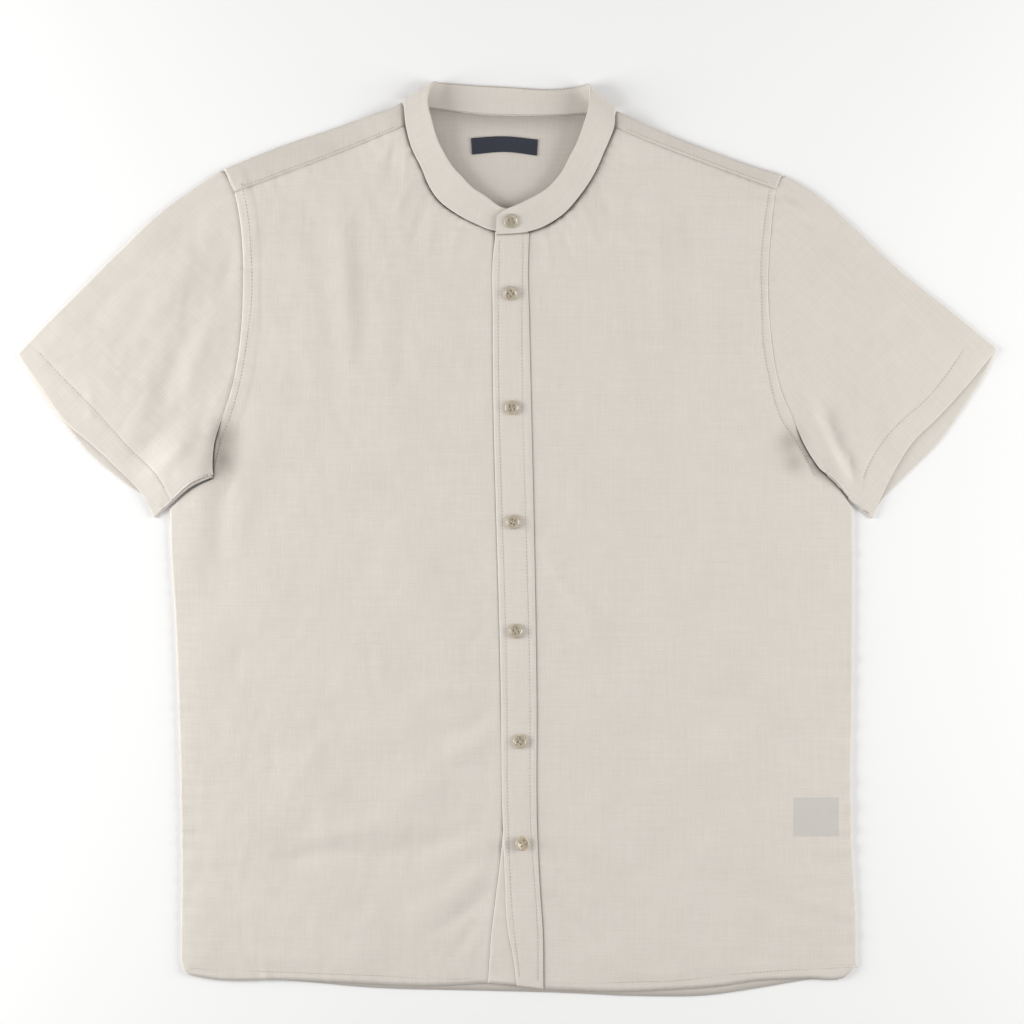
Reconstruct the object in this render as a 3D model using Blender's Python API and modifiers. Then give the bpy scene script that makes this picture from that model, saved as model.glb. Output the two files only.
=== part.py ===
# Mandarin collar shirt with short sleeves, buttoned up and laid flat on its back.
# The frame is in metres with +Z up: the surface it lies on is z = 0, +Y runs from
# the hem to the collar, and +X is the wearer's left, the right hand of someone
# who looks down at the front.  The tables and sizes below are in millimetres.

import math

import bmesh
import bpy
from mathutils import Matrix, Vector

MM = 0.001

# Cloth and seams
CLOTH = 1.0            # wall of one cloth piece
BAND_WALL = 1.6        # collar band: two layers and the interfacing
GAP = 0.3              # kept between two pieces at a seam, or one on another
RESTING = CLOTH + 0.05 # inside of a folded piece's lower layer above the surface
STEP_UP = CLOTH + GAP  # from a cloth piece's underside to that of the one on it

# How the upper layer lies over the lower one
EDGE_HEIGHT = 1.3      # its underside at the side seams, folds and hems
LAY_RISE = 1.7         # further rise well inside the outline
LAY_REACH = 14.0       # distance over which it rises
FOLD_BULGE = 0.5       # smallest radius of a fold, in plan
FOLD_SLOPE = 0.35      # plan radius of a high fold, as a share of its height
FOLD_POINTS = 3        # points round a fold between the two layers

PLACKET_WIDTH = 27.0

# Buttons
BUTTON_DIAMETER = 12.0
BUTTON_THICK = 2.4
BUTTON_RIM = 1.6       # width of the raised rim
BUTTON_DISH = 0.6      # depth of the dish inside the rim
BUTTON_HOLE = 1.5      # diameter of each of the four sewing holes
HOLE_SPACING = 1.45    # from the button's middle to each hole, along X and Y
BUTTON_SIDES = 28

# Colours: red, green, blue, roughness
LINEN = (0.70, 0.64, 0.56, 0.9)
BUTTON_PLASTIC = (0.60, 0.53, 0.42, 0.25)
NAVY = (0.015, 0.018, 0.035, 0.8)
LABEL_GREY = (0.45, 0.44, 0.42, 0.85)

# Rows of the armhole tables where the two seams meet it
AT_YOKE_SEAM = 9
AT_SHOULDER_SEAM = 11

# Steps along the stretches of an edge that pieces share.  Both edges of a front
# have the same number of them.
SIDE_STEPS = 10
UNDERARM_STEPS = 2
CENTRE_STEPS = 16
NECK_STEPS = SIDE_STEPS + UNDERARM_STEPS + AT_SHOULDER_SEAM - CENTRE_STEPS

# Edges in plan, (x, y)
SIDE_SEAM_RIGHT = (        # wearer's right, hem to armpit
    (-266.5, -346.0), (-266.0, -255.0), (-267.0, -198.0), (-269.0, -125.0),
    (-271.5, -62.0), (-275.0, -9.0), (-276.0, 24.0),
)
SIDE_SEAM_LEFT = (
    (286.6, -349.0), (285.8, -296.0), (283.3, -255.0), (282.5, -190.0),
    (283.3, -132.0), (284.0, -50.0), (284.0, 24.0),
)
UNDERARM_RIGHT = (         # armpit corner of the body to the foot of the armhole
    (-276.0, 24.0), (-256.2, 41.0), (-240.0, 48.8),
)
UNDERARM_LEFT = (
    (284.0, 24.0), (272.0, 41.0), (258.0, 54.5),
)
# An armhole runs from its foot to the shoulder fold.  Every piece that meets there
# uses these points: the back up to the yoke seam, the yoke from there, the front up
# to the shoulder seam, and the sleeve all of them.
ARMHOLE_RIGHT = (
    (-240.0, 48.8), (-240.4, 62.0), (-239.0, 78.0), (-234.4, 94.7), (-226.3, 119.3),
    (-220.6, 146.0), (-217.3, 174.0), (-216.0, 205.0), (-216.3, 237.4), (-217.4, 252.0),
    (-220.0, 270.0), (-223.0, 283.5), (-232.4, 302.2),
)
ARMHOLE_LEFT = (
    (258.0, 54.5), (250.0, 66.0), (243.0, 78.5), (235.3, 97.2), (225.4, 120.0),
    (219.3, 146.0), (216.0, 174.0), (214.3, 205.0), (215.6, 237.4), (216.7, 252.0),
    (218.6, 270.0), (221.0, 286.0), (226.6, 297.6),
)
SHOULDER_FOLD_RIGHT = (    # collar to armhole
    (-86.0, 357.0), (-95.5, 352.2), (-107.8, 348.1), (-134.9, 338.2), (-192.3, 318.6),
    (-231.6, 302.6),
)
SHOULDER_FOLD_LEFT = (
    (90.4, 350.0), (101.3, 345.6), (116.8, 338.2), (165.2, 318.6), (207.9, 303.4),
    (225.8, 298.0),
)
SHOULDER_SEAM_RIGHT = ((-83.6, 337.2), (-150.0, 310.8), (-223.0, 283.5))
SHOULDER_SEAM_LEFT = ((89.6, 335.6), (150.0, 312.2), (221.0, 286.0))
NECK_SEAM_RIGHT = (        # centre front to the shoulder seam
    (-9.8, 251.3), (-25.0, 256.7), (-39.8, 264.4), (-54.5, 275.1), (-63.5, 287.4),
    (-70.4, 303.8), (-77.8, 318.6), (-83.6, 337.2),
)
NECK_SEAM_LEFT = (
    (18.7, 250.5), (30.4, 254.6), (48.0, 266.1), (62.7, 283.3), (72.6, 298.9),
    (80.4, 316.1), (89.6, 335.6),
)
NECK_SEAM_BACK = (
    (-86.0, 357.0), (-74.0, 353.2), (-56.0, 351.0), (-27.5, 347.3), (5.0, 345.6),
    (35.0, 345.8), (62.0, 347.2), (77.0, 348.6), (90.4, 350.0),
)
SLEEVE_TOP_RIGHT = (       # shoulder to the cuff's outer corner
    (-233.4, 301.6), (-257.9, 285.8), (-280.8, 269.4), (-316.1, 236.6), (-348.9, 203.8),
    (-381.7, 171.0), (-401.0, 150.5),
)
SLEEVE_TOP_LEFT = (
    (227.6, 297.2), (238.6, 291.5), (253.0, 282.5), (273.5, 265.3), (322.7, 219.3),
    (362.8, 187.4), (402.2, 155.4),
)
SLEEVE_UNDER_RIGHT = (     # foot of the armhole to the cuff's inner corner
    (-240.8, 50.2), (-256.8, 43.0), (-277.2, 26.4), (-288.2, 16.8),
)
SLEEVE_UNDER_LEFT = (
    (259.0, 55.6), (273.0, 42.4), (285.2, 27.6), (299.5, 16.2),
)
CUFF_FRONT_RIGHT = (       # outer corner to inner corner
    (-401.0, 150.5), (-382.5, 123.4), (-361.2, 94.7), (-340.7, 77.5), (-320.2, 58.6),
    (-297.2, 34.0), (-288.2, 16.8),
)
CUFF_BACK_RIGHT = (
    (-401.0, 150.5), (-383.3, 121.8), (-361.2, 92.2), (-343.2, 70.9), (-312.0, 44.7),
    (-293.1, 29.9), (-288.2, 16.8),
)
CUFF_FRONT_LEFT = (
    (402.2, 155.4), (373.5, 120.9), (353.8, 99.6), (332.5, 78.3), (312.8, 46.0),
    (299.5, 16.2),
)
CUFF_BACK_LEFT = (
    (402.2, 155.4), (394.8, 139.0), (375.1, 107.8), (353.8, 78.3), (330.0, 54.5),
    (305.9, 28.3), (299.5, 16.2),
)
HEM_FRONT_RIGHT = (        # side seam to centre front
    (-266.5, -346.0), (-262.5, -356.0), (-248.9, -359.6), (-180.8, -361.8),
    (-126.7, -364.2), (-62.7, -366.6), (-15.6, -364.2),
)
HEM_FRONT_LEFT = (         # placket to side seam
    (30.6, -369.6), (95.0, -371.2), (137.3, -369.4), (172.6, -366.9), (203.8, -362.4),
    (245.0, -360.2), (279.0, -358.0), (286.6, -349.0),
)
HEM_BACK = (               # side seam to side seam
    (-266.5, -346.0), (-262.0, -356.4), (-248.9, -359.8), (-180.8, -362.2),
    (-112.8, -367.8), (-16.8, -370.6), (38.1, -372.0), (119.3, -375.1), (159.5, -374.7),
    (209.5, -367.8), (247.2, -361.6), (279.2, -358.4), (286.6, -349.0),
)
PLACKET_EDGE = (           # its left edge, hem to neck; it sits over the button stand
    (8.5, -366.4), (5.3, -342.3), (1.2, -321.0), (-1.2, -278.4), (-3.3, -226.7),
    (-4.5, -132.4), (-11.3, 180.0), (-11.0, 232.0), (-9.2, 248.6),
)
PLACKET_OUTER = (          # its right edge
    (30.3, -369.4), (29.7, -321.0), (27.5, -289.0), (25.2, -242.3), (24.6, -132.4),
    (18.5, 180.0), (17.6, 221.0), (18.4, 250.2),
)
STAND_EDGE = (             # the stand's seam with the right front, hem to neck
    (-15.6, -364.2), (-12.6, -321.0), (-9.9, -299.0), (-2.3, -226.7), (-3.4, -132.4),
    (-10.0, 180.0), (-9.8, 251.3),
)

# Collar band, from its end under the button round the back of the neck to the end
# on top.  layer: 0 lies on the surface behind the neck, 1 lies with the upper layer.
# rise: the free edge above the seam edge.  over: lift of the overlapping end.
BAND_SECTIONS = (
    # seam x, seam y, free x, free y, layer, rise, over
    (14.0, 250.8, 12.0, 270.0, 1.0, 0.4, 0.0),
    (-10.0, 251.6, -4.0, 271.2, 1.0, 0.5, 0.0),
    (-25.0, 257.0, -17.4, 280.4, 1.0, 1.0, 0.0),
    (-39.8, 264.7, -27.8, 287.2, 1.0, 1.8, 0.0),
    (-54.3, 275.4, -37.0, 296.8, 1.0, 2.6, 0.0),
    (-63.2, 287.6, -44.2, 304.6, 1.0, 3.2, 0.0),
    (-70.1, 303.9, -51.0, 315.6, 1.0, 3.6, 0.0),
    (-77.5, 318.7, -57.0, 328.0, 1.0, 3.8, 0.0),
    (-82.0, 335.0, -61.2, 343.0, 1.0, 3.8, 0.0),
    (-83.4, 348.0, -64.2, 358.0, 1.0, 3.6, 0.0),
    (-83.2, 358.6, -60.0, 371.6, 0.5, 3.4, 0.0),
    (-72.0, 354.0, -54.0, 373.4, 0.1, 1.4, 0.0),
    (-56.0, 351.4, -46.5, 372.9, 0.0, 0.0, 0.0),
    (-27.5, 347.7, -26.0, 371.4, 0.0, 0.0, 0.0),
    (5.0, 346.0, 5.0, 369.6, 0.0, 0.0, 0.0),
    (35.0, 346.2, 32.0, 368.0, 0.0, 0.0, 0.0),
    (62.0, 347.6, 51.0, 369.2, 0.0, 0.0, 0.0),
    (77.0, 349.4, 60.0, 370.8, 0.1, 1.6, 0.0),
    (87.8, 352.0, 66.6, 370.6, 0.5, 3.6, 0.0),
    (88.4, 344.0, 67.6, 361.0, 1.0, 3.6, 0.0),
    (87.6, 334.4, 66.4, 350.0, 1.0, 3.8, 0.0),
    (80.1, 316.2, 58.6, 326.4, 1.0, 3.8, 0.0),
    (72.3, 299.1, 51.6, 312.4, 1.0, 3.4, 0.0),
    (62.4, 283.6, 44.4, 299.0, 1.0, 3.0, 0.0),
    (47.8, 266.4, 33.4, 286.8, 1.0, 2.0, 0.0),
    (30.3, 254.9, 19.6, 278.4, 1.0, 1.0, 0.8),
    (14.0, 250.0, 8.6, 273.0, 1.0, 0.6, 1.9),
    (-1.0, 248.9, -2.4, 268.2, 1.0, 0.5, 1.9),
    (-8.8, 248.9, -8.0, 262.6, 1.0, 0.5, 1.9),
)
BAND_SPANS = 2             # steps along the band between two sections
BAND_ROWS = 3              # steps across it

# Where the upper layer stands up: beside the neck, and over the care label
LIFTS = (
    # x, y, height, radius
    (-84.0, 346.0, 6.0, 28.0),
    (88.0, 342.0, 6.0, 28.0),
    (253.0, -228.0, 1.3, 32.0),
)
# The sleeves alone stand up where they fold over the body at the underarm
SLEEVE_LIFTS = (
    # x, y, height, radius
    (-262.0, 60.0, 8.0, 26.0),
    (270.0, 66.0, 6.5, 24.0),
)
# Largest soft folds of the fronts: a trough is negative
FOLDS = (
    # x0, y0, x1, y1, height, half width
    (-190.0, -270.0, -60.0, -245.0, -1.1, 16.0),
    (-110.0, -225.0, -20.0, -175.0, 1.3, 14.0),
    (-140.0, 250.0, -120.0, 120.0, 1.0, 13.0),
    (-70.0, -330.0, -20.0, -275.0, 1.0, 11.0),
    (115.0, 270.0, 125.0, 120.0, 1.2, 12.0),
    (40.0, -10.0, 85.0, -95.0, 0.8, 9.0),
    (-235.0, 110.0, -262.0, -40.0, 1.0, 12.0),
    (232.0, 60.0, 262.0, -90.0, 1.0, 12.0),
)

# The buttons, from the collar down.  tilt: how far one hangs over on its thread.
BUTTONS = (
    # x, y, turn in degrees, tilt in degrees
    (3.9, 259.5, 20.0, 0.0),
    (3.4, 200.5, 40.0, 0.0),
    (4.6, 107.0, 10.0, 0.0),
    (5.5, 13.5, 75.0, 0.0),
    (7.8, -75.8, 30.0, 0.0),
    (11.2, -166.0, 55.0, 0.0),
    (12.4, -249.5, 25.0, 24.0),
)

NECK_LABEL_TOP = ((-29.1, 328.0), (-5.3, 329.6), (25.8, 327.0))
NECK_LABEL_BOTTOM = ((-28.4, 314.6), (-1.2, 316.8), (25.0, 313.8))
CARE_LABEL = (234.0, -245.0, 273.0, -212.0)   # x and y of two opposite corners


# ---- plane curves ---------------------------------------------------------------

def curve_point(points, position):
    # Point at a position from 0 to 1 along a smooth curve through the points.
    lengths = [math.dist(a, b) for a, b in zip(points, points[1:])]
    target = position * sum(lengths)
    index = 0
    while index < len(lengths) - 1 and target > lengths[index]:
        target -= lengths[index]
        index += 1
    t = min(target / lengths[index], 1.0)
    before = points[max(index - 1, 0)]
    start, end = points[index], points[index + 1]
    after = points[min(index + 2, len(points) - 1)]
    result = []
    for p0, p1, p2, p3 in zip(before, start, end, after):
        slope_1 = (p2 - p0) / 2.0
        slope_2 = (p3 - p1) / 2.0
        result.append(
            (2 * t**3 - 3 * t**2 + 1) * p1 + (t**3 - 2 * t**2 + t) * slope_1
            + (3 * t**2 - 2 * t**3) * p2 + (t**3 - t**2) * slope_2
        )
    return tuple(result)


def resample(points, steps):
    return [curve_point(points, i / steps) for i in range(steps + 1)]


def chain(*stretches):
    # Joins (points, steps) stretches into one edge, keeping the corners between them.
    edge = []
    for points, steps in stretches:
        part = resample(points, steps)
        edge += part[1:] if edge else part
    return edge


def shift(edge, distance):
    # Moves an edge sideways: a positive distance goes to the left of its direction.
    moved = []
    for i, point in enumerate(edge):
        before = edge[max(i - 1, 0)]
        after = edge[min(i + 1, len(edge) - 1)]
        along = Vector(after) - Vector(before)
        side = Vector((-along.y, along.x)).normalized()
        moved.append(tuple(Vector(point) + side * distance))
    return moved


def patch(left, right, bottom, top):
    # Fills four edges: rows from bottom to top, and in each row points left to right.
    rows = len(left) - 1
    columns = len(bottom) - 1
    left, right, bottom, top = (
        [Vector(p) for p in edge] for edge in (left, right, bottom, top)
    )
    grid = []
    for j in range(rows + 1):
        v = j / rows
        row = []
        for i in range(columns + 1):
            u = i / columns
            corners = (
                left[0] * (1 - u) * (1 - v) + right[0] * u * (1 - v)
                + left[-1] * (1 - u) * v + right[-1] * u * v
            )
            across = left[j] * (1 - u) + right[j] * u
            along = bottom[i] * (1 - v) + top[i] * v
            row.append(across + along - corners)
        grid.append(row)
    return grid


# ---- how high the upper layer lies ------------------------------------------------

OUTLINE = (
    SIDE_SEAM_RIGHT, SIDE_SEAM_LEFT, SHOULDER_FOLD_RIGHT, SHOULDER_FOLD_LEFT,
    SLEEVE_TOP_RIGHT, SLEEVE_TOP_LEFT, CUFF_FRONT_RIGHT, CUFF_FRONT_LEFT,
    HEM_FRONT_RIGHT, HEM_FRONT_LEFT,
)


def segment_distance(x, y, start, end):
    # Distance to a segment, and how far along it the nearest point is.
    across_x, across_y = end[0] - start[0], end[1] - start[1]
    span = across_x**2 + across_y**2
    t = ((x - start[0]) * across_x + (y - start[1]) * across_y) / span
    t = min(max(t, 0.0), 1.0)
    near_x, near_y = start[0] + t * across_x, start[1] + t * across_y
    return math.hypot(x - near_x, y - near_y), t


def outline_distance(x, y):
    return min(
        segment_distance(x, y, start, end)[0]
        for edge in OUTLINE
        for start, end in zip(edge, edge[1:])
    )


def bumps(x, y, table):
    total = 0.0
    for centre_x, centre_y, height, radius in table:
        away = math.hypot(x - centre_x, y - centre_y) / radius
        total += height * math.exp(-away * away)
    return total


def folds(x, y):
    total = 0.0
    for x0, y0, x1, y1, height, half_width in FOLDS:
        away, t = segment_distance(x, y, (x0, y0), (x1, y1))
        fade = math.sin(math.pi * (0.1 + 0.8 * t))
        total += height * fade * math.exp(-(away / half_width) ** 2)
    return total


def lay_height(x, y):
    # Underside of the upper layer above the surface, at a place in plan.
    inside = 1.0 - math.exp(-outline_distance(x, y) / LAY_REACH)
    return EDGE_HEIGHT + (LAY_RISE + folds(x, y)) * inside + bumps(x, y, LIFTS)


def sleeve_height(x, y):
    return lay_height(x, y) + bumps(x, y, SLEEVE_LIFTS)


# ---- meshes ---------------------------------------------------------------------

def material(name, colour):
    red, green, blue, roughness = colour
    made = bpy.data.materials.new(name)
    made.use_nodes = True
    shader = made.node_tree.nodes["Principled BSDF"]
    shader.inputs["Base Color"].default_value = (red, green, blue, 1.0)
    shader.inputs["Roughness"].default_value = roughness
    shader.inputs["Metallic"].default_value = 0.0
    return made


def cloth_object(name, points, faces, colour, wall=CLOTH, offset=1.0):
    # An open surface, given in millimetres, with a wall that grows along its normals.
    shape = bmesh.new()
    corners = [shape.verts.new(Vector(p) * MM) for p in points]
    for face in faces:
        shape.faces.new([corners[i] for i in face])
    mesh = bpy.data.meshes.new(name)
    shape.to_mesh(mesh)
    shape.free()
    mesh.materials.append(material(name + "_finish", colour))
    made = bpy.data.objects.new(name, mesh)
    parts.objects.link(made)
    solid = made.modifiers.new("wall", "SOLIDIFY")
    solid.thickness = wall * MM
    solid.offset = offset
    solid.use_even_offset = True
    return made


def grid_faces(rows, columns, index, up=True):
    # Faces between neighbouring rows; index(row, column) gives a corner's number.
    faces = []
    for j in range(rows):
        for i in range(columns):
            face = [index(j, i), index(j, i + 1), index(j + 1, i + 1), index(j + 1, i)]
            faces.append(face if up else face[::-1])
    return faces


def flat_piece(name, grid, height, colour, up=True):
    # A patch whose lower side (up) or upper side (not up) is at height(x, y).
    columns = len(grid[0])
    points = [(p.x, p.y, height(p.x, p.y)) for row in grid for p in row]
    faces = grid_faces(len(grid) - 1, columns - 1, lambda j, i: j * columns + i, up)
    return cloth_object(name, points, faces, colour)


def fold_arc(edge_top, edge_bottom, outward):
    # Points round a fold, from the upper layer's edge to the lower layer's.
    half = (edge_top.z - edge_bottom.z) / 2.0
    bulge = fold_radius(edge_top.z)
    arc = []
    for k in range(1, FOLD_POINTS + 1):
        angle = math.pi * k / (FOLD_POINTS + 1)
        plan = edge_top.lerp(edge_bottom, k / (FOLD_POINTS + 1))
        plan = plan + outward * bulge * math.sin(angle)
        arc.append(Vector((plan.x, plan.y, edge_bottom.z + half * (1 + math.cos(angle)))))
    return arc


def fold_radius(top_height):
    return max(FOLD_BULGE, FOLD_SLOPE * (top_height - CLOTH))


def inset_edge(edge, side, height):
    # A fold's edge moved in, so that the wall outside the fold reaches the outline.
    moved = []
    for i, point in enumerate(edge):
        inset = CLOTH + fold_radius(height(*point))
        moved.append(shift(edge, side * inset)[i])
    return moved


def outward_normals(edge, side):
    return [(Vector(far) - Vector(near)).to_3d() for near, far in zip(edge, shift(edge, -side))]


# ---- the garment ----------------------------------------------------------------

def body_edge(side_seam, underarm, armhole):
    # Side edge of a body panel: side seam, underarm, then the armhole's own points.
    return chain((side_seam, SIDE_STEPS), (underarm, UNDERARM_STEPS)) + list(armhole[1:])


def make_back():
    below = AT_YOKE_SEAM + 1
    left = body_edge(SIDE_SEAM_RIGHT, UNDERARM_RIGHT, ARMHOLE_RIGHT[:below])
    right = body_edge(SIDE_SEAM_LEFT, UNDERARM_LEFT, ARMHOLE_LEFT[:below])
    left[-1] = (left[-1][0], left[-1][1] - GAP)
    right[-1] = (right[-1][0], right[-1][1] - GAP)
    columns = 22
    bottom = resample(HEM_BACK, columns)
    top = resample((left[-1], right[-1]), columns)
    grid = patch(left, right, bottom, top)
    return flat_piece("back", grid, lambda x, y: CLOTH, LINEN, up=False)


def make_yoke():
    # Lower layer from its seam with the back up to the shoulder folds and the neck,
    # then a strip over each shoulder down to the seam with the front.
    shoulder_steps, neck_steps, strip_rows = 8, 10, 2
    rows = AT_SHOULDER_SEAM - AT_YOKE_SEAM + 1
    fold_right = inset_edge(resample(SHOULDER_FOLD_RIGHT, shoulder_steps), 1.0, lay_height)
    fold_left = inset_edge(resample(SHOULDER_FOLD_LEFT, shoulder_steps), -1.0, lay_height)
    normals_right = outward_normals(resample(SHOULDER_FOLD_RIGHT, shoulder_steps), 1.0)
    normals_left = outward_normals(resample(SHOULDER_FOLD_LEFT, shoulder_steps), -1.0)
    neck = resample(NECK_SEAM_BACK, neck_steps)
    neck = [fold_right[0]] + shift(neck, -GAP)[1:-1] + [fold_left[0]]
    top = fold_right[::-1] + neck[1:] + fold_left[1:]
    columns = len(top) - 1
    meeting = slice(AT_YOKE_SEAM, AT_SHOULDER_SEAM + 1)
    left = list(ARMHOLE_RIGHT[meeting]) + [top[0]]
    right = list(ARMHOLE_LEFT[meeting]) + [top[-1]]
    bottom = resample((left[0], right[0]), columns)
    grid = patch(left, right, bottom, top)

    points = [(p.x, p.y, RESTING) for row in grid for p in row]
    width = columns + 1
    faces = grid_faces(rows, columns, lambda j, i: j * width + i, up=False)
    for side in ("right", "left"):
        if side == "right":
            fold, normals, seam = fold_right, normals_right, SHOULDER_SEAM_RIGHT
            base = [rows * width + shoulder_steps - k for k in range(shoulder_steps + 1)]
        else:
            fold, normals, seam = fold_left, normals_left, SHOULDER_SEAM_LEFT
            corner = rows * width + columns - shoulder_steps
            base = [corner + k for k in range(shoulder_steps + 1)]
        seam = shift(resample(seam, shoulder_steps), -GAP if side == "right" else GAP)
        for k in range(shoulder_steps + 1):
            edge_top = Vector((*fold[k], lay_height(*fold[k])))
            edge_bottom = Vector((*fold[k], RESTING))
            column = fold_arc(edge_top, edge_bottom, normals[k])[::-1] + [edge_top]
            for j in range(1, strip_rows + 1):
                place = Vector(fold[k]).lerp(Vector(seam[k]), j / strip_rows)
                column.append(Vector((place.x, place.y, lay_height(place.x, place.y))))
            points += [tuple(p) for p in column]
        length = FOLD_POINTS + 1 + strip_rows
        start = len(points) - (shoulder_steps + 1) * length

        def strip_index(j, i, base=base, start=start, length=length):
            return base[i] if j == 0 else start + i * length + j - 1

        faces += grid_faces(length, shoulder_steps, strip_index, up=side == "right")
    return cloth_object("yoke", points, faces, LINEN)


def make_front_right():
    # The wearer's right front runs from its side seam to the button stand.
    outer = body_edge(SIDE_SEAM_RIGHT, UNDERARM_RIGHT, ARMHOLE_RIGHT[:AT_SHOULDER_SEAM + 1])
    inner = chain((STAND_EDGE, CENTRE_STEPS), (NECK_SEAM_RIGHT, NECK_STEPS))
    inner = shift(inner, GAP / 2.0)
    columns = 12
    hem = resample(HEM_FRONT_RIGHT, columns)
    hem = [outer[0]] + hem[1:-1] + [inner[0]]
    shoulder = resample(SHOULDER_SEAM_RIGHT[::-1], columns)
    shoulder = [outer[-1]] + shoulder[1:-1] + [inner[-1]]
    return flat_piece("front_right", patch(outer, inner, hem, shoulder), lay_height, LINEN)


def make_front_left():
    # The wearer's left front runs from the placket to its side seam.
    inner = chain((PLACKET_OUTER, CENTRE_STEPS), (NECK_SEAM_LEFT, NECK_STEPS))
    inner = shift(inner, -GAP)
    outer = body_edge(SIDE_SEAM_LEFT, UNDERARM_LEFT, ARMHOLE_LEFT[:AT_SHOULDER_SEAM + 1])
    columns = 12
    hem = resample(HEM_FRONT_LEFT, columns)
    hem = [inner[0]] + hem[1:-1] + [outer[0]]
    shoulder = resample(SHOULDER_SEAM_LEFT, columns)
    shoulder = [inner[-1]] + shoulder[1:-1] + [outer[-1]]
    return flat_piece("front_left", patch(inner, outer, hem, shoulder), lay_height, LINEN)


def make_strip(name, left_edge, right_edge, lift):
    # A long straight piece at the centre front, raised over what it lies on.
    left = resample(left_edge, CENTRE_STEPS)
    right = resample(right_edge, CENTRE_STEPS)
    grid = patch(left, right, (left[0], right[0]), (left[-1], right[-1]))
    return flat_piece(name, grid, lambda x, y: lay_height(x, y) + lift, LINEN)


def make_sleeve(name, armhole, top, under, cuff_front, cuff_back, side):
    # A flattened tube: an upper and a lower layer between a fold along the top and
    # one under the arm, open at the armhole and at the cuff.
    around, along = len(armhole) - 1, 9
    top_edge = resample(top, along)
    under_edge = resample(under, along)
    top_in = inset_edge(top_edge, side, sleeve_height)
    under_in = inset_edge(under_edge, -side, sleeve_height)
    top_out = outward_normals(top_edge, side)
    under_out = outward_normals(under_edge, -side)
    armhole_edge = shift(armhole[::-1], -side * GAP)
    armhole_edge = [top_in[0]] + armhole_edge[1:-1] + [under_in[0]]
    layers = []
    for cuff in (cuff_front, cuff_back):
        cuff_edge = resample(cuff, around)
        cuff_edge = [top_in[-1]] + cuff_edge[1:-1] + [under_in[-1]]
        layers.append(patch(top_in, under_in, armhole_edge, cuff_edge))
    upper, lower = layers
    rings = []
    for k in range(along + 1):
        high = [Vector((p.x, p.y, sleeve_height(p.x, p.y))) for p in upper[k]]
        low = [Vector((p.x, p.y, RESTING)) for p in lower[k]]
        ring = high + fold_arc(high[-1], low[-1], under_out[k])
        ring += low[::-1] + fold_arc(high[0], low[0], top_out[k])[::-1]
        rings.append(ring)
    count = len(rings[0])
    points = [tuple(p) for ring in rings for p in ring]
    faces = grid_faces(along, count, lambda j, i: j * count + i % count, up=side < 0)
    return cloth_object(name, points, faces, LINEN)


def make_collar_band():
    sections = []
    for seam_x, seam_y, free_x, free_y, layer, rise, over in BAND_SECTIONS:
        low = BAND_WALL / 2.0
        high = lay_height(seam_x, seam_y) + BAND_WALL / 2.0
        seam_z = low + (high - low) * layer + over
        seam, free = Vector((seam_x, seam_y)), Vector((free_x, free_y))
        seam += (free - seam).normalized() * 2.0 * GAP
        sections.append((seam.x, seam.y, seam_z, free.x, free.y, seam_z + rise))
    steps = (len(sections) - 1) * BAND_SPANS
    points = []
    for k in range(steps + 1):
        index, part = divmod(k, BAND_SPANS)
        near = sections[max(index - 1, 0):index + 3]
        if index == 0:
            near = [sections[0]] + near
        while len(near) < 4:
            near.append(sections[-1])
        section = spline(near, part / BAND_SPANS)
        seam, free = Vector(section[:3]), Vector(section[3:])
        for j in range(BAND_ROWS + 1):
            place = seam.lerp(free, j / BAND_ROWS)
            points.append((place.x, place.y, max(place.z, BAND_WALL / 2.0 + 0.05)))
    width = BAND_ROWS + 1
    faces = grid_faces(steps, BAND_ROWS, lambda j, i: j * width + i, up=False)
    return cloth_object("collar_band", points, faces, LINEN, wall=BAND_WALL, offset=0.0)


def spline(four, t):
    # Smooth interpolation between the middle two of four rows of a table.
    result = []
    for p0, p1, p2, p3 in zip(*four):
        slope_1, slope_2 = (p2 - p0) / 2.0, (p3 - p1) / 2.0
        result.append(
            (2 * t**3 - 3 * t**2 + 1) * p1 + (t**3 - 2 * t**2 + t) * slope_1
            + (3 * t**2 - 2 * t**3) * p2 + (t**3 - t**2) * slope_2
        )
    return result


def make_neck_label():
    rows, columns = 2, 6
    bottom = resample(NECK_LABEL_BOTTOM, columns)
    top = resample(NECK_LABEL_TOP, columns)
    left = resample((bottom[0], top[0]), rows)
    right = resample((bottom[-1], top[-1]), rows)
    grid = patch(left, right, bottom, top)
    return flat_piece("neck_label", grid, lambda x, y: STEP_UP, NAVY)


def make_care_label():
    x0, y0, x1, y1 = CARE_LABEL
    steps = 4
    bottom, top = resample(((x0, y0), (x1, y0)), steps), resample(((x0, y1), (x1, y1)), steps)
    left, right = resample(((x0, y0), (x0, y1)), steps), resample(((x1, y0), (x1, y1)), steps)
    grid = patch(left, right, bottom, top)
    return flat_piece("care_label", grid, lambda x, y: STEP_UP, LABEL_GREY)


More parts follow.
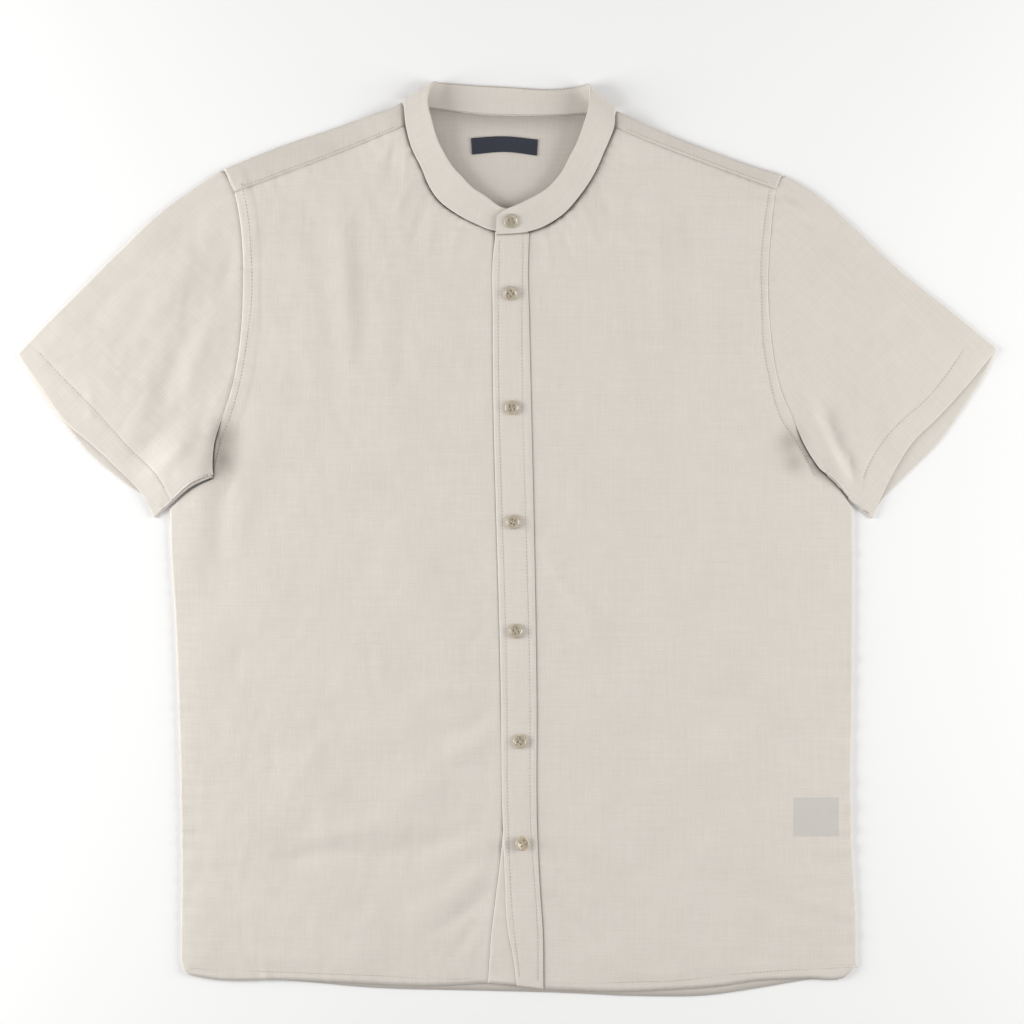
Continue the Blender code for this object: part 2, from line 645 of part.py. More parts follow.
def button_blank(name):
    # A turned disc with a raised rim round a shallow dish, and a rounded edge.
    radius = BUTTON_DIAMETER / 2.0
    profile = (
        (0.0, BUTTON_THICK - BUTTON_DISH), (radius - BUTTON_RIM - 0.5, BUTTON_THICK - BUTTON_DISH),
        (radius - BUTTON_RIM, BUTTON_THICK), (radius - 0.6, BUTTON_THICK),
        (radius, BUTTON_THICK - 0.7), (radius, 0.8), (radius - 0.9, 0.0), (0.0, 0.0),
    )
    shape = bmesh.new()
    corners = [shape.verts.new(Vector((x, 0.0, z)) * MM) for x, z in profile]
    for start, end in zip(corners, corners[1:]):
        shape.edges.new((start, end))
    mesh = bpy.data.meshes.new(name)
    shape.to_mesh(mesh)
    shape.free()
    made = bpy.data.objects.new(name, mesh)
    parts.objects.link(made)
    turned = made.modifiers.new("turned", "SCREW")
    turned.steps = turned.render_steps = BUTTON_SIDES
    turned.use_merge_vertices = True
    turned.merge_threshold = 0.00001
    return made


def hole_cutter(number):
    # Four round holes through a button, set in a square.
    shape = bmesh.new()
    for x in (-HOLE_SPACING, HOLE_SPACING):
        for y in (-HOLE_SPACING, HOLE_SPACING):
            bmesh.ops.create_cone(
                shape, cap_ends=True, segments=8, radius1=BUTTON_HOLE / 2.0 * MM,
                radius2=BUTTON_HOLE / 2.0 * MM, depth=BUTTON_THICK * 3.0 * MM,
                matrix=Matrix.Translation((x * MM, y * MM, 0.0)),
            )
    mesh = bpy.data.meshes.new(f"button_holes_{number}")
    shape.to_mesh(mesh)
    shape.free()
    cutter = bpy.data.objects.new(f"button_holes_{number}", mesh)
    cutter.hide_render = True
    cutter.display_type = "WIRE"
    cutters.objects.link(cutter)
    return cutter


def make_button(number, x, y, turn, tilt):
    name = f"button_{number}"
    button = button_blank(name)
    button.data.materials.append(material(name + "_finish", BUTTON_PLASTIC))
    cut = button.modifiers.new("sewing_holes", "BOOLEAN")
    cut.operation = "DIFFERENCE"
    cut.object = hole_cutter(number)
    seat = lay_height(x, y) + STEP_UP + CLOTH + GAP
    if number == 1:
        seat = band_top(x, y)
    lean = math.radians(tilt)
    seat += math.sin(lean) * BUTTON_DIAMETER / 2.0
    spin = Matrix.Rotation(math.radians(turn), 4, "Z")
    place = Matrix.Translation((x * MM, y * MM, seat * MM))
    button.matrix_world = place @ Matrix.Rotation(lean, 4, "Y") @ spin
    cut.object.matrix_world = button.matrix_world
    return button


def band_top(x, y):
    # Just above the overlapping end of the collar band, where the first button lies.
    over, rise = BAND_SECTIONS[-1][6], BAND_SECTIONS[-1][5]
    return lay_height(x, y - 8.0) + BAND_WALL + over + rise + GAP


def remove_scene_objects():
    for old in list(bpy.data.objects):
        bpy.data.objects.remove(old, do_unlink=True)


remove_scene_objects()
parts = bpy.data.collections.new("mandarin_collar_shirt")
cutters = bpy.data.collections.new("cutters")
for group in (parts, cutters):
    bpy.context.scene.collection.children.link(group)

make_back()
make_yoke()
make_front_right()
make_front_left()
stand_seam = resample(STAND_EDGE, CENTRE_STEPS)
make_strip("button_stand", shift(stand_seam, -GAP / 2.0), shift(stand_seam, -PLACKET_WIDTH), 0.0)
make_strip("placket", PLACKET_EDGE, PLACKET_OUTER, STEP_UP)
make_sleeve(
    "sleeve_right", ARMHOLE_RIGHT, SLEEVE_TOP_RIGHT, SLEEVE_UNDER_RIGHT,
    CUFF_FRONT_RIGHT, CUFF_BACK_RIGHT, 1.0,
)
make_sleeve(
    "sleeve_left", ARMHOLE_LEFT, SLEEVE_TOP_LEFT, SLEEVE_UNDER_LEFT,
    CUFF_FRONT_LEFT, CUFF_BACK_LEFT, -1.0,
)
make_collar_band()
make_neck_label()
make_care_label()
for number, (x, y, turn, tilt) in enumerate(BUTTONS, start=1):
    make_button(number, x, y, turn, tilt)
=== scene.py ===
import math

import bmesh
import bpy
import numpy as np
from mathutils import Matrix


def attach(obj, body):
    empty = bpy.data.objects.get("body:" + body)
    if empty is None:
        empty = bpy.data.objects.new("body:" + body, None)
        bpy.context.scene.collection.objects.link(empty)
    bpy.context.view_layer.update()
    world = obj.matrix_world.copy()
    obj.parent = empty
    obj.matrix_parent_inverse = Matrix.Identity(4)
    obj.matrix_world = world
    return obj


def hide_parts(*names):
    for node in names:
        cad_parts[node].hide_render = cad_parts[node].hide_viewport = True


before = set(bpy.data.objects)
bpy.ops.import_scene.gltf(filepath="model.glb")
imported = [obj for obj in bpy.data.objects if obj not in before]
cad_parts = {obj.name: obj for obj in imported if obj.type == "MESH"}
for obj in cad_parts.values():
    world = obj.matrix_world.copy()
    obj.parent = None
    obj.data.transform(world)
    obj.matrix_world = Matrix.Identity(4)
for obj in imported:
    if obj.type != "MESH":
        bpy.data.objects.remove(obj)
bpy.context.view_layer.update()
mm = 0.001

# how the layers lie, as on the solids
layers = {
    "cloth": 1.0,        # wall of the solids
    "gap": 0.3,
    "shell": 0.62,       # wall of the cloth that shows
    "band": 1.6,
    "bandShell": 1.35,
    "edgeHeight": 1.3,
    "rise": 1.7,
    "reach": 14.0,
    "foldBulge": 0.5,
    "foldSlope": 0.35,
}

# edges in plan, hem to collar or collar to cuff
sideSeam = {
    "right": [(-266.5, -346), (-266, -255), (-267, -198), (-269, -125), (-271.5, -62),
              (-275, -9), (-276, 24)],
    "left": [(286.6, -349), (285.8, -296), (283.3, -255), (282.5, -190), (283.3, -132),
             (284, -50), (284, 24)],
}
underarm = {
    "right": [(-276, 24), (-256.2, 41), (-240, 48.8)],
    "left": [(284, 24), (272, 41), (258, 54.5)],
}
armhole = {
    "right": [(-240, 48.8), (-240.4, 62), (-239, 78), (-234.4, 94.7), (-226.3, 119.3),
              (-220.6, 146), (-217.3, 174), (-216, 205), (-216.3, 237.4), (-217.4, 252),
              (-220, 270), (-223, 283.5), (-232.4, 302.2)],
    "left": [(258, 54.5), (250, 66), (243, 78.5), (235.3, 97.2), (225.4, 120),
             (219.3, 146), (216, 174), (214.3, 205), (215.6, 237.4), (216.7, 252),
             (218.6, 270), (221, 286), (226.6, 297.6)],
}
atYokeSeam, atShoulderSeam = 9, 11
shoulderFold = {
    "right": [(-86, 357), (-95.5, 352.2), (-107.8, 348.1), (-134.9, 338.2), (-192.3, 318.6),
              (-231.6, 302.6)],
    "left": [(90.4, 350), (101.3, 345.6), (116.8, 338.2), (165.2, 318.6), (207.9, 303.4),
             (225.8, 298)],
}
shoulderSeam = {
    "right": [(-83.6, 337.2), (-150, 310.8), (-223, 283.5)],
    "left": [(89.6, 335.6), (150, 312.2), (221, 286)],
}
neckSeam = {
    "right": [(-9.8, 251.3), (-25, 256.7), (-39.8, 264.4), (-54.5, 275.1), (-63.5, 287.4),
              (-70.4, 303.8), (-77.8, 318.6), (-83.6, 337.2)],
    "left": [(18.7, 250.5), (30.4, 254.6), (48, 266.1), (62.7, 283.3), (72.6, 298.9),
             (80.4, 316.1), (89.6, 335.6)],
}
neckBack = [(-86, 357), (-74, 353.2), (-56, 351), (-27.5, 347.3), (5, 345.6), (35, 345.8),
            (62, 347.2), (77, 348.6), (90.4, 350)]
sleeveTop = {
    "right": [(-233.4, 301.6), (-257.9, 285.8), (-280.8, 269.4), (-316.1, 236.6),
              (-348.9, 203.8), (-381.7, 171), (-401, 150.5)],
    "left": [(227.6, 297.2), (238.6, 291.5), (253, 282.5), (273.5, 265.3), (322.7, 219.3),
             (362.8, 187.4), (402.2, 155.4)],
}
sleeveUnder = {
    "right": [(-240.8, 50.2), (-256.8, 43), (-277.2, 26.4), (-288.2, 16.8)],
    "left": [(259, 55.6), (273, 42.4), (285.2, 27.6), (299.5, 16.2)],
}
cuffFront = {
    "right": [(-401, 150.5), (-382.5, 123.4), (-361.2, 94.7), (-340.7, 77.5),
              (-320.2, 58.6), (-297.2, 34), (-288.2, 16.8)],
    "left": [(402.2, 155.4), (373.5, 120.9), (353.8, 99.6), (332.5, 78.3), (312.8, 46),
             (299.5, 16.2)],
}
cuffBack = {
    "right": [(-401, 150.5), (-383.3, 121.8), (-361.2, 92.2), (-343.2, 70.9),
              (-312, 44.7), (-293.1, 29.9), (-288.2, 16.8)],
    "left": [(402.2, 155.4), (394.8, 139), (375.1, 107.8), (353.8, 78.3), (330, 54.5),
             (305.9, 28.3), (299.5, 16.2)],
}
hemFront = {
    "right": [(-266.5, -346), (-262.5, -356), (-248.9, -359.6), (-180.8, -361.8),
              (-126.7, -364.2), (-62.7, -366.6), (-15.6, -364.2)],
    "left": [(30.6, -369.6), (95, -371.2), (137.3, -369.4), (172.6, -366.9),
             (203.8, -362.4), (245, -360.2), (279, -358), (286.6, -349)],
}
hemBack = [(-266.5, -346), (-262, -356.4), (-248.9, -359.8), (-180.8, -362.2),
           (-112.8, -367.8), (-16.8, -370.6), (38.1, -372), (119.3, -375.1),
           (159.5, -374.7), (209.5, -367.8), (247.2, -361.6), (279.2, -358.4),
           (286.6, -349)]
placketInner = [(8.5, -366.4), (5.3, -342.3), (1.2, -321), (-1.2, -278.4), (-3.3, -226.7),
                (-4.5, -132.4), (-11.3, 180), (-11, 232), (-9.2, 248.6)]
placketOuter = [(30.3, -369.4), (29.7, -321), (27.5, -289), (25.2, -242.3), (24.6, -132.4),
                (18.5, 180), (17.6, 221), (18.4, 250.2)]
standSeam = [(-15.6, -364.2), (-12.6, -321), (-9.9, -299), (-2.3, -226.7), (-3.4, -132.4),
             (-10, 180), (-9.8, 251.3)]
placketWidth = 27.0

# seam x, seam y, free x, free y, layer, rise, over: as on the band's solid
bandRows = [
    (14, 250.8, 12, 270, 1, 0.4, 0), (-10, 251.6, -4, 271.2, 1, 0.5, 0),
    (-25, 257, -17.4, 280.4, 1, 1, 0), (-39.8, 264.7, -27.8, 287.2, 1, 1.8, 0),
    (-54.3, 275.4, -37, 296.8, 1, 2.6, 0), (-63.2, 287.6, -44.2, 304.6, 1, 3.2, 0),
    (-70.1, 303.9, -51, 315.6, 1, 3.6, 0), (-77.5, 318.7, -57, 328, 1, 3.8, 0),
    (-82, 335, -61.2, 343, 1, 3.8, 0), (-83.4, 348, -64.2, 358, 1, 3.6, 0),
    (-83.2, 358.6, -60, 371.6, 0.5, 3.4, 0), (-72, 354, -54, 373.4, 0.1, 1.4, 0),
    (-56, 351.4, -46.5, 372.9, 0, 0, 0), (-27.5, 347.7, -26, 371.4, 0, 0, 0),
    (5, 346, 5, 369.6, 0, 0, 0), (35, 346.2, 32, 368, 0, 0, 0),
    (62, 347.6, 51, 369.2, 0, 0, 0), (77, 349.4, 60, 370.8, 0.1, 1.6, 0),
    (87.8, 352, 66.6, 370.6, 0.5, 3.6, 0), (88.4, 344, 67.6, 361, 1, 3.6, 0),
    (87.6, 334.4, 66.4, 350, 1, 3.8, 0), (80.1, 316.2, 58.6, 326.4, 1, 3.8, 0),
    (72.3, 299.1, 51.6, 312.4, 1, 3.4, 0), (62.4, 283.6, 44.4, 299, 1, 3, 0),
    (47.8, 266.4, 33.4, 286.8, 1, 2, 0), (30.3, 254.9, 19.6, 278.4, 1, 1, 0.8),
    (14, 250, 8.6, 273, 1, 0.6, 1.9), (-1, 248.9, -2.4, 268.2, 1, 0.5, 1.9),
    (-8.8, 248.9, -8, 262.6, 1, 0.5, 1.9),
]


def added(name, data):
    made = bpy.data.objects.new(name, data)
    bpy.context.scene.collection.objects.link(made)
    return made


# plane curves and patches

def smooth(points, steps):
    # evenly spaced points on a smooth curve through the given ones
    p = np.array(points, float)
    if len(p) == 2:
        t = np.linspace(0, 1, steps + 1)[:, None]
        return p[0] * (1 - t) + p[1] * t
    h = np.hypot(*(p[1:] - p[:-1]).T)
    slope = (p[1:] - p[:-1]) / h[:, None]
    m = np.empty_like(p)
    m[0], m[-1] = slope[0], slope[-1]
    w = h[:-1] / (h[:-1] + h[1:])
    m[1:-1] = slope[:-1] * (1 - w)[:, None] + slope[1:] * w[:, None]
    t = np.linspace(0, 1, 24, endpoint=False)[:, None]
    dense = []
    for i in range(len(p) - 1):
        dense.append(
            (2 * t**3 - 3 * t**2 + 1) * p[i] + (t**3 - 2 * t**2 + t) * m[i] * h[i]
            + (3 * t**2 - 2 * t**3) * p[i + 1] + (t**3 - t**2) * m[i + 1] * h[i]
        )
    dense = np.vstack(dense + [p[-1:]])
    return respace(dense, np.linspace(0, 1, steps + 1))


def respace(line, places):
    # points at the given shares of a line's length
    run = np.concatenate([[0], np.cumsum(np.hypot(*(line[1:] - line[:-1]).T[:2]))])
    at = np.asarray(places) * run[-1]
    return np.stack([np.interp(at, run, line[:, k]) for k in range(line.shape[1])], axis=1)


def chain(*stretches):
    parts = [smooth(points, steps) for points, steps in stretches]
    return np.vstack([parts[0]] + [part[1:] for part in parts[1:]])


def sideways(line):
    # unit normals to the left of a line's direction
    along = np.gradient(line[:, :2], axis=0)
    along /= np.hypot(*along.T)[:, None]
    return np.stack([-along[:, 1], along[:, 0]], axis=1)


def shifted(line, distance):
    return line + sideways(line) * np.asarray(distance).reshape(-1, 1)


def patch(left, right, bottom, top, across=None, up=None):
    # rows from bottom to top between four edges, at shares across and up
    u = np.linspace(0, 1, len(bottom)) if across is None else np.asarray(across)
    v = np.linspace(0, 1, len(left)) if up is None else np.asarray(up)
    u, v = u[None, :, None], v[:, None, None]
    corners = (left[0] * (1 - u) + right[0] * u) * (1 - v) + (left[-1] * (1 - u) + right[-1] * u) * v
    return left[:, None] * (1 - u) + right[:, None] * u + bottom[None] * (1 - v) + top[None] * v - corners


def nearLine(x, y, line):
    # distance to a line, which side it is on (left positive) and how far along it is
    best = np.full(x.shape, 1e9)
    side = np.zeros(x.shape)
    along = np.zeros(x.shape)
    run = 0.0
    for a, b in zip(line, line[1:]):
        dx, dy = b[0] - a[0], b[1] - a[1]
        span = math.hypot(dx, dy)
        t = np.clip(((x - a[0]) * dx + (y - a[1]) * dy) / span**2, 0, 1)
        away = np.hypot(x - a[0] - t * dx, y - a[1] - t * dy)
        closer = away < best
        best = np.where(closer, away, best)
        side = np.where(closer, np.sign(dx * (y - a[1]) - dy * (x - a[0])), side)
        along = np.where(closer, run + t * span, along)
        run += span
    return best, side, along


# how high the upper layer lies

lifts = [  # x, y, height, radius
    (-84, 346, 6.0, 28), (88, 342, 6.0, 28), (253, -228, 1.3, 32),
]
folds = [  # x0, y0, x1, y1, height, half width, bow: the folds that the solids have too
    (-190, -270, -60, -245, -1.1, 16, 0), (-110, -225, -20, -175, 1.3, 14, 0),
    (-140, 250, -120, 120, 1.0, 13, 0), (-70, -330, -20, -275, 1.0, 11, 0),
    (115, 270, 125, 120, 1.2, 12, 0), (40, -10, 85, -95, 0.8, 9, 0),
    (-235, 110, -262, -40, 1.0, 12, 0), (232, 60, 262, -90, 1.0, 12, 0),
]
creases = [  # x0, y0, x1, y1, height, half width, bow: negative heights are troughs
    # wearer's right front, low folds towards the placket
    (-196, -268, -112, -258, -0.8, 7, 5), (-112, -258, -14, -232, -0.9, 8, -6),
    (-180, -252, -60, -236, 0.7, 8, 6), (-64, -164, -8, -143, -1.0, 7, -3),
    (-46, -104, -6, -122, -0.8, 5, 3), (-66, -194, -8, -190, -0.7, 6, 4),
    (-52, -178, -8, -166, 0.6, 6, 2), (-8, -278, -68, -326, -1.0, 6, 5),
    (-12, -262, -86, -310, 0.8, 8, 6), (-18, -300, -52, -350, -0.6, 5, 3),
    (-100, -130, -30, -118, 0.5, 9, -5), (-170, -180, -90, -168, 0.4, 12, 8),
    # soft upright streaks on the chest
    (-142, 288, -128, 150, 0.9, 9, 5), (-118, 270, -116, 130, -0.6, 7, -4),
    (-172, 262, -160, 90, 0.5, 11, 6), (-96, 246, -88, 80, 0.5, 10, -8),
    (108, 282, 118, 160, -0.8, 8, 4), (128, 284, 132, 150, 0.9, 8, -4),
    (150, 280, 152, 170, -0.7, 8, 3), (178, 262, 172, 110, 0.5, 11, -6),
    (84, 240, 96, 60, 0.4, 12, 8),
    # gathers under the collar seam
    (-72, 300, -92, 262, 0.7, 4, -2), (-64, 284, -80, 240, -0.6, 4, 2),
    (-56, 272, -66, 226, 0.5, 4, -1), (-50, 257, -26, 255, -0.6, 2.5, 0),
    (-40, 262, -46, 222, 0.4, 4, 1), (30, 252, 36, 216, 0.5, 4, 1),
    (46, 262, 56, 224, -0.6, 4, -2), (58, 276, 74, 238, 0.6, 4, 2),
    (70, 296, 88, 258, -0.5, 4, 1), (-88, 334, -112, 300, 0.6, 3.5, 2),
    (-90, 336, -96, 292, -0.5, 3, -1), (-84, 330, -84, 286, 0.4, 3, 1),
    # thin pulled creases on the wearer's left front
    (22, 2, 88, -92, 0.8, 3.2, -3), (42, -12, 104, -108, -0.6, 4, 3),
    (30, -280, 80, -340, -0.9, 5, -3), (40, -262, 98, -330, 0.7, 6, 4),
    (34, -60, 70, -130, 0.4, 6, -3), (150, -40, 210, -150, 0.4, 14, 10),
    (60, -160, 120, -260, 0.45, 12, -8), (200, -130, 240, -200, -0.4, 10, 5),
    # drag lines from the armholes
    (-226, 130, -252, 20, 0.9, 8, -6), (-214, 120, -236, -30, -0.8, 9, -5),
    (-196, 110, -222, -60, 0.5, 11, -6), (236, 90, 262, -10, 0.8, 8, 5),
    (222, 96, 246, -50, -0.8, 9, 5), (204, 100, 226, -70, 0.5, 11, 6),
    # beside the hem
    (-230, -338, -150, -352, 0.5, 6, 2), (-120, -346, -70, -356, -0.4, 5, 1),
    (90, -352, 150, -360, 0.5, 6, -2), (180, -340, 240, -352, -0.4, 6, 2),
    (236, -296, 282, -308, 0.5, 6, 2), (244, -262, 284, -272, -0.5, 5, -2),
]
rightSleeveCreases = [
    (-238, 270, -320, 150, 0.7, 10, 8), (-250, 262, -350, 168, -0.5, 8, -6),
    (-228, 200, -262, 110, 0.8, 9, -7), (-244, 190, -286, 90, -0.7, 9, -7),
    (-262, 180, -312, 78, 0.6, 10, -6), (-300, 210, -366, 138, 0.5, 12, 6),
    (-252, 96, -300, 44, 1.4, 7, 4), (-262, 108, -316, 62, -1.0, 7, 4),
    (-226, 250, -236, 190, -0.5, 6, 3), (-340, 186, -388, 150, 0.4, 8, -3),
]
leftSleeveCreases = [
    (222, 281, 248, 260, 1.4, 2.6, 0.5), (224, 276, 252, 254, -1.0, 3, 0.5),
    (239, 127, 283, 41, 2.2, 7, -4), (258, 118, 290, 40, -2.0, 7, -3),
    (226, 190, 250, 110, 0.8, 9, 6), (240, 200, 286, 96, -0.6, 9, 6),
    (256, 240, 330, 130, 0.6, 11, -7), (280, 240, 366, 160, -0.5, 9, 5),
    (300, 130, 318, 70, 0.8, 8, 4), (320, 180, 362, 128, 0.4, 12, 5),
]


def bumps(x, y, table):
    total = np.zeros(x.shape)
    for cx, cy, height, radius in table:
        total += height * np.exp(-((x - cx)**2 + (y - cy)**2) / radius**2)
    return total


def ridges(x, y, table):
    # each row is a long soft ridge or trough that fades out at both ends
    total = np.zeros(x.shape)
    for x0, y0, x1, y1, height, half, bow in table:
        dx, dy = x1 - x0, y1 - y0
        span = math.hypot(dx, dy)
        t = ((x - x0) * dx + (y - y0) * dy) / span**2
        near = (t > 0) & (t < 1)
        inside = np.clip(t, 0, 1)
        off = ((y - y0) * dx - (x - x0) * dy) / span - bow * 4 * inside * (1 - inside)
        total += np.where(near, height * np.sin(np.pi * inside)**0.8 * np.exp(-(off / half)**2), 0)
    return total


def scattered(seed, count, area, length, height, half, lean, spread):
    # short creases strewn over an area; lean is their usual direction in degrees
    draw = np.random.default_rng(seed)
    table = []
    for _ in range(count):
        x, y = draw.uniform(area[0], area[2]), draw.uniform(area[1], area[3])
        angle = math.radians(draw.normal(lean, spread))
        reach = draw.uniform(*length) / 2
        size = draw.uniform(*height) * draw.choice((-1.0, 1.0))
        dx, dy = reach * math.cos(angle), reach * math.sin(angle)
        table.append((x - dx, y - dy, x + dx, y + dy, size, draw.uniform(*half), draw.uniform(-3, 3)))
    return table


def waves(seed, count, shortest, longest):
    # smooth uneven ground as a sum of plane waves
    draw = np.random.default_rng(seed)
    size = np.exp(draw.uniform(math.log(shortest), math.log(longest), count))
    angle = draw.uniform(0, math.pi, count)
    phase = draw.uniform(0, 2 * math.pi, count)
    return size, angle, phase


def ground(x, y, table):
    size, angle, phase = table
    total = np.zeros(x.shape)
    for s, a, p in zip(size, angle, phase):
        total += (s / size.max())**0.7 * np.sin(2 * np.pi * (x * math.cos(a) + y * math.sin(a)) / s + p)
    return total / math.sqrt(len(size))


wide = waves(3, 26, 34, 150)
fine = waves(4, 40, 9, 30)
small = (
    scattered(11, 150, (-280, -360, 290, 300), (24, 80), (0.1, 0.34), (2.5, 6), 84, 22)
    + scattered(12, 130, (-280, -360, 290, 300), (20, 70), (0.08, 0.3), (2.5, 6), 4, 18)
    + scattered(13, 60, (-400, 20, -220, 300), (20, 70), (0.12, 0.4), (2.5, 6), 45, 24)
    + scattered(14, 60, (220, 20, 402, 300), (20, 70), (0.12, 0.4), (2.5, 6), 135, 24)
)
outline = [
    smooth(edge, 40) for edge in (
        sideSeam["right"], sideSeam["left"], shoulderFold["right"], shoulderFold["left"],
        sleeveTop["right"], sleeveTop["left"], cuffFront["right"], cuffFront["left"],
        hemFront["right"], hemFront["left"],
    )
]
# seams whose stitching draws the cloth up: line, height, reach, shortest wave, longest wave
puckered = [
    (smooth(sideSeam["right"], 60), 0.55, 12, 9, 26), (smooth(sideSeam["left"], 60), 0.55, 12, 9, 26),
    (smooth(armhole["right"], 60), 0.32, 11, 7, 18), (smooth(armhole["left"], 60), 0.32, 11, 7, 18),
    (smooth(shoulderSeam["right"], 20), 0.22, 8, 8, 18), (smooth(shoulderSeam["left"], 20), 0.22, 8, 8, 18),
    (smooth(neckSeam["right"], 30), 0.3, 12, 7, 15), (smooth(neckSeam["left"], 30), 0.3, 12, 7, 15),
    (smooth(placketInner, 60), 0.28, 12, 12, 34), (smooth(placketOuter, 60), 0.28, 12, 12, 34),
    (smooth(hemFront["right"], 30), 0.3, 9, 8, 20), (smooth(hemFront["left"], 30), 0.3, 9, 8, 20),
]


def outlineDistance(x, y):
    return np.min([nearLine(x, y, line)[0] for line in outline], axis=0)


def layBase(x, y):
    # underside of the upper layer, without the fine wrinkles
    inside = 1 - np.exp(-outlineDistance(x, y) / layers["reach"])
    return layers["edgeHeight"] + (layers["rise"] + ridges(x, y, folds)) * inside + bumps(x, y, lifts)


creasing = {"placed": 1.5, "strewn": 1.1, "wide": 0.6, "fine": 0.14}


def wrinkles(x, y, more=()):
    inside = 1 - np.exp(-outlineDistance(x, y) / 6)
    total = creasing["placed"] * ridges(x, y, creases + list(more))
    total += creasing["strewn"] * ridges(x, y, small)
    total += creasing["wide"] * ground(x, y, wide) + creasing["fine"] * ground(x, y, fine)
    total *= inside
    for number, (line, height, reach, shortest, longest) in enumerate(puckered):
        away, _, along = nearLine(x, y, line)
        size, _, phase = waves(20 + number, 7, shortest, longest)
        wobble = sum(np.sin(2 * np.pi * along / s + p) for s, p in zip(size, phase)) / 2.6
        total += height * wobble * np.exp(-away / reach)
    return total


def besidePlacket(x, y):
    # 0 on the placket, 1 well away from it
    middle = (smooth(placketInner, 60) + smooth(placketOuter, 60)) / 2
    away = nearLine(x, y, middle)[0]
    return np.clip((away - placketWidth / 2) / 16, 0, 1)


def frontTop(x, y):
    # top of the fronts, the shoulder strips and, with its own lifts, the sleeves
    calm = 0.3 + 0.7 * besidePlacket(x, y)
    z = layBase(x, y) + layers["cloth"] + wrinkles(x, y) * calm
    return np.maximum(z, layers["edgeHeight"] + layers["shell"] + 0.1)


# meshes from grids of points

def clothMesh(name, points, uv, wall=layers["shell"], closed=False):
    # points: rows x columns x 3 in millimetres, the outer side; the wall grows inwards
    rows, columns = points.shape[:2]
    index = np.arange(rows * columns).reshape(rows, columns)
    if closed:
        index = np.hstack([index, index[:, :1]])
    faces = np.stack([index[:-1, :-1], index[:-1, 1:], index[1:, 1:], index[1:, :-1]], axis=-1)
    return meshOf(name, points.reshape(-1, 3), faces.reshape(-1, 4), uv.reshape(-1, 2), wall)


shades = [  # x, y, depth, radius: where light barely reaches beside the armpits
    (-231, 84, 0.42, 11), (-232, 64, 0.36, 9), (233, 80, 0.36, 10), (236, 62, 0.3, 8),
]


def shadows(x, y):
    return np.clip(bumps(x, y, shades), 0, 0.6)


def meshOf(name, points, faces, uv, wall):
    mesh = bpy.data.meshes.new(name)
    mesh.from_pydata((points * mm).tolist(), [], faces.tolist())
    layer = mesh.uv_layers.new(name="weave")
    corners = np.empty(len(mesh.loops), int)
    mesh.loops.foreach_get("vertex_index", corners)
    layer.data.foreach_set("uv", (uv * mm)[corners].ravel())
    dark = shadows(points[:, 0], points[:, 1])
    mesh.attributes.new("shade", "FLOAT", "POINT").data.foreach_set("value", dark)
    mesh.shade_smooth()
    made = added(name, mesh)
    solid = made.modifiers.new("wall", "SOLIDIFY")
    solid.thickness = wall * mm
    solid.offset = -1
    return made


def soft(value, low, high):
    t = np.clip((value - low) / (high - low), 0, 1)
    return t * t * (3 - 2 * t)


# the felled seam round each armhole is thicker on the body's side, and every seam sinks in
fellLines = {
    "right": smooth([(-240.8, 50), (-233, 82), (-226.3, 100.4), (-219.3, 125), (-212.8, 161.9),
                     (-208.9, 196.4), (-209.5, 237.4), (-212, 266.1), (-216.9, 289.9)], 60),
    "left": smooth([(252, 52), (238, 78), (225.1, 98), (215.2, 132), (210.3, 160.3),
                    (209.1, 195.6), (208.7, 230), (211.6, 259.5), (215.2, 284.1)], 60),
}
sunkSeams = [smooth(edge, 50) for edge in (
    armhole["right"], armhole["left"], shoulderSeam["right"], shoulderSeam["left"],
    neckSeam["right"], neckSeam["left"])]
hemLines = {
    "right": smooth([(-257.9, -352.2), (-221.8, -353.8), (-153.8, -356.3), (-112.8, -357.9),
                     (-62.7, -360.4), (-39.8, -361.2), (-16.8, -357.9)], 40),
    "left": smooth([(30.7, -363.7), (65.2, -364.5), (106.2, -363.2), (142.3, -362),
                    (159.5, -360), (197.2, -356), (228.4, -353.8), (286.6, -351.1)], 40),
}
seams = {"sink": 0.5, "sinkWidth": 1.2, "fellRise": 0.38, "fellWidth": 14, "hemDepth": 0.35,
         "cuffDepth": 0.4, "stitchWidth": 1.1, "headSink": 0.75, "headSinkWidth": 1.3}


def seamRelief(x, y):
    total = np.zeros(x.shape)
    for line in sunkSeams:
        total -= seams["sink"] * np.exp(-(nearLine(x, y, line)[0] / seams["sinkWidth"])**2)
    for side, sign in (("right", -1), ("left", 1)):
        away, turned, _ = nearLine(x, y, fellLines[side])
        felled = soft(turned * sign * away, -0.8, 0.6)
        nearArmhole = nearLine(x, y, smooth(armhole[side], 60))[0] < seams["fellWidth"]
        total += seams["fellRise"] * felled * nearArmhole
        away = nearLine(x, y, hemLines[side])[0]
        total -= seams["hemDepth"] * np.exp(-(away / seams["stitchWidth"])**2)
    return total


hollows = [(-230, 72, -2.2, 16), (233, 72, -2.0, 15)]


def bodyTop(x, y):
    return np.maximum(frontTop(x, y) + seamRelief(x, y) + bumps(x, y, hollows), 1.95)


sleeveLifts = [(-262, 60, 8, 26), (270, 66, 6.5, 24)]


def sleeveTopHeight(x, y, table):
    z = layBase(x, y) + layers["cloth"] + bumps(x, y, sleeveLifts) + wrinkles(x, y, table)
    for line in sunkSeams[:2]:
        z = z - seams["headSink"] * np.exp(-(nearLine(x, y, line)[0] / seams["headSinkWidth"])**2)
    return np.maximum(z, 1.95)


def bodyEdge(side, upTo):
    return np.vstack([chain((sideSeam[side], 120), (underarm[side], 16)),
                      smooth(armhole[side][:upTo], 96)[1:]])


def withHeight(plan, height):
    return np.dstack([plan, height(plan[..., 0], plan[..., 1])])


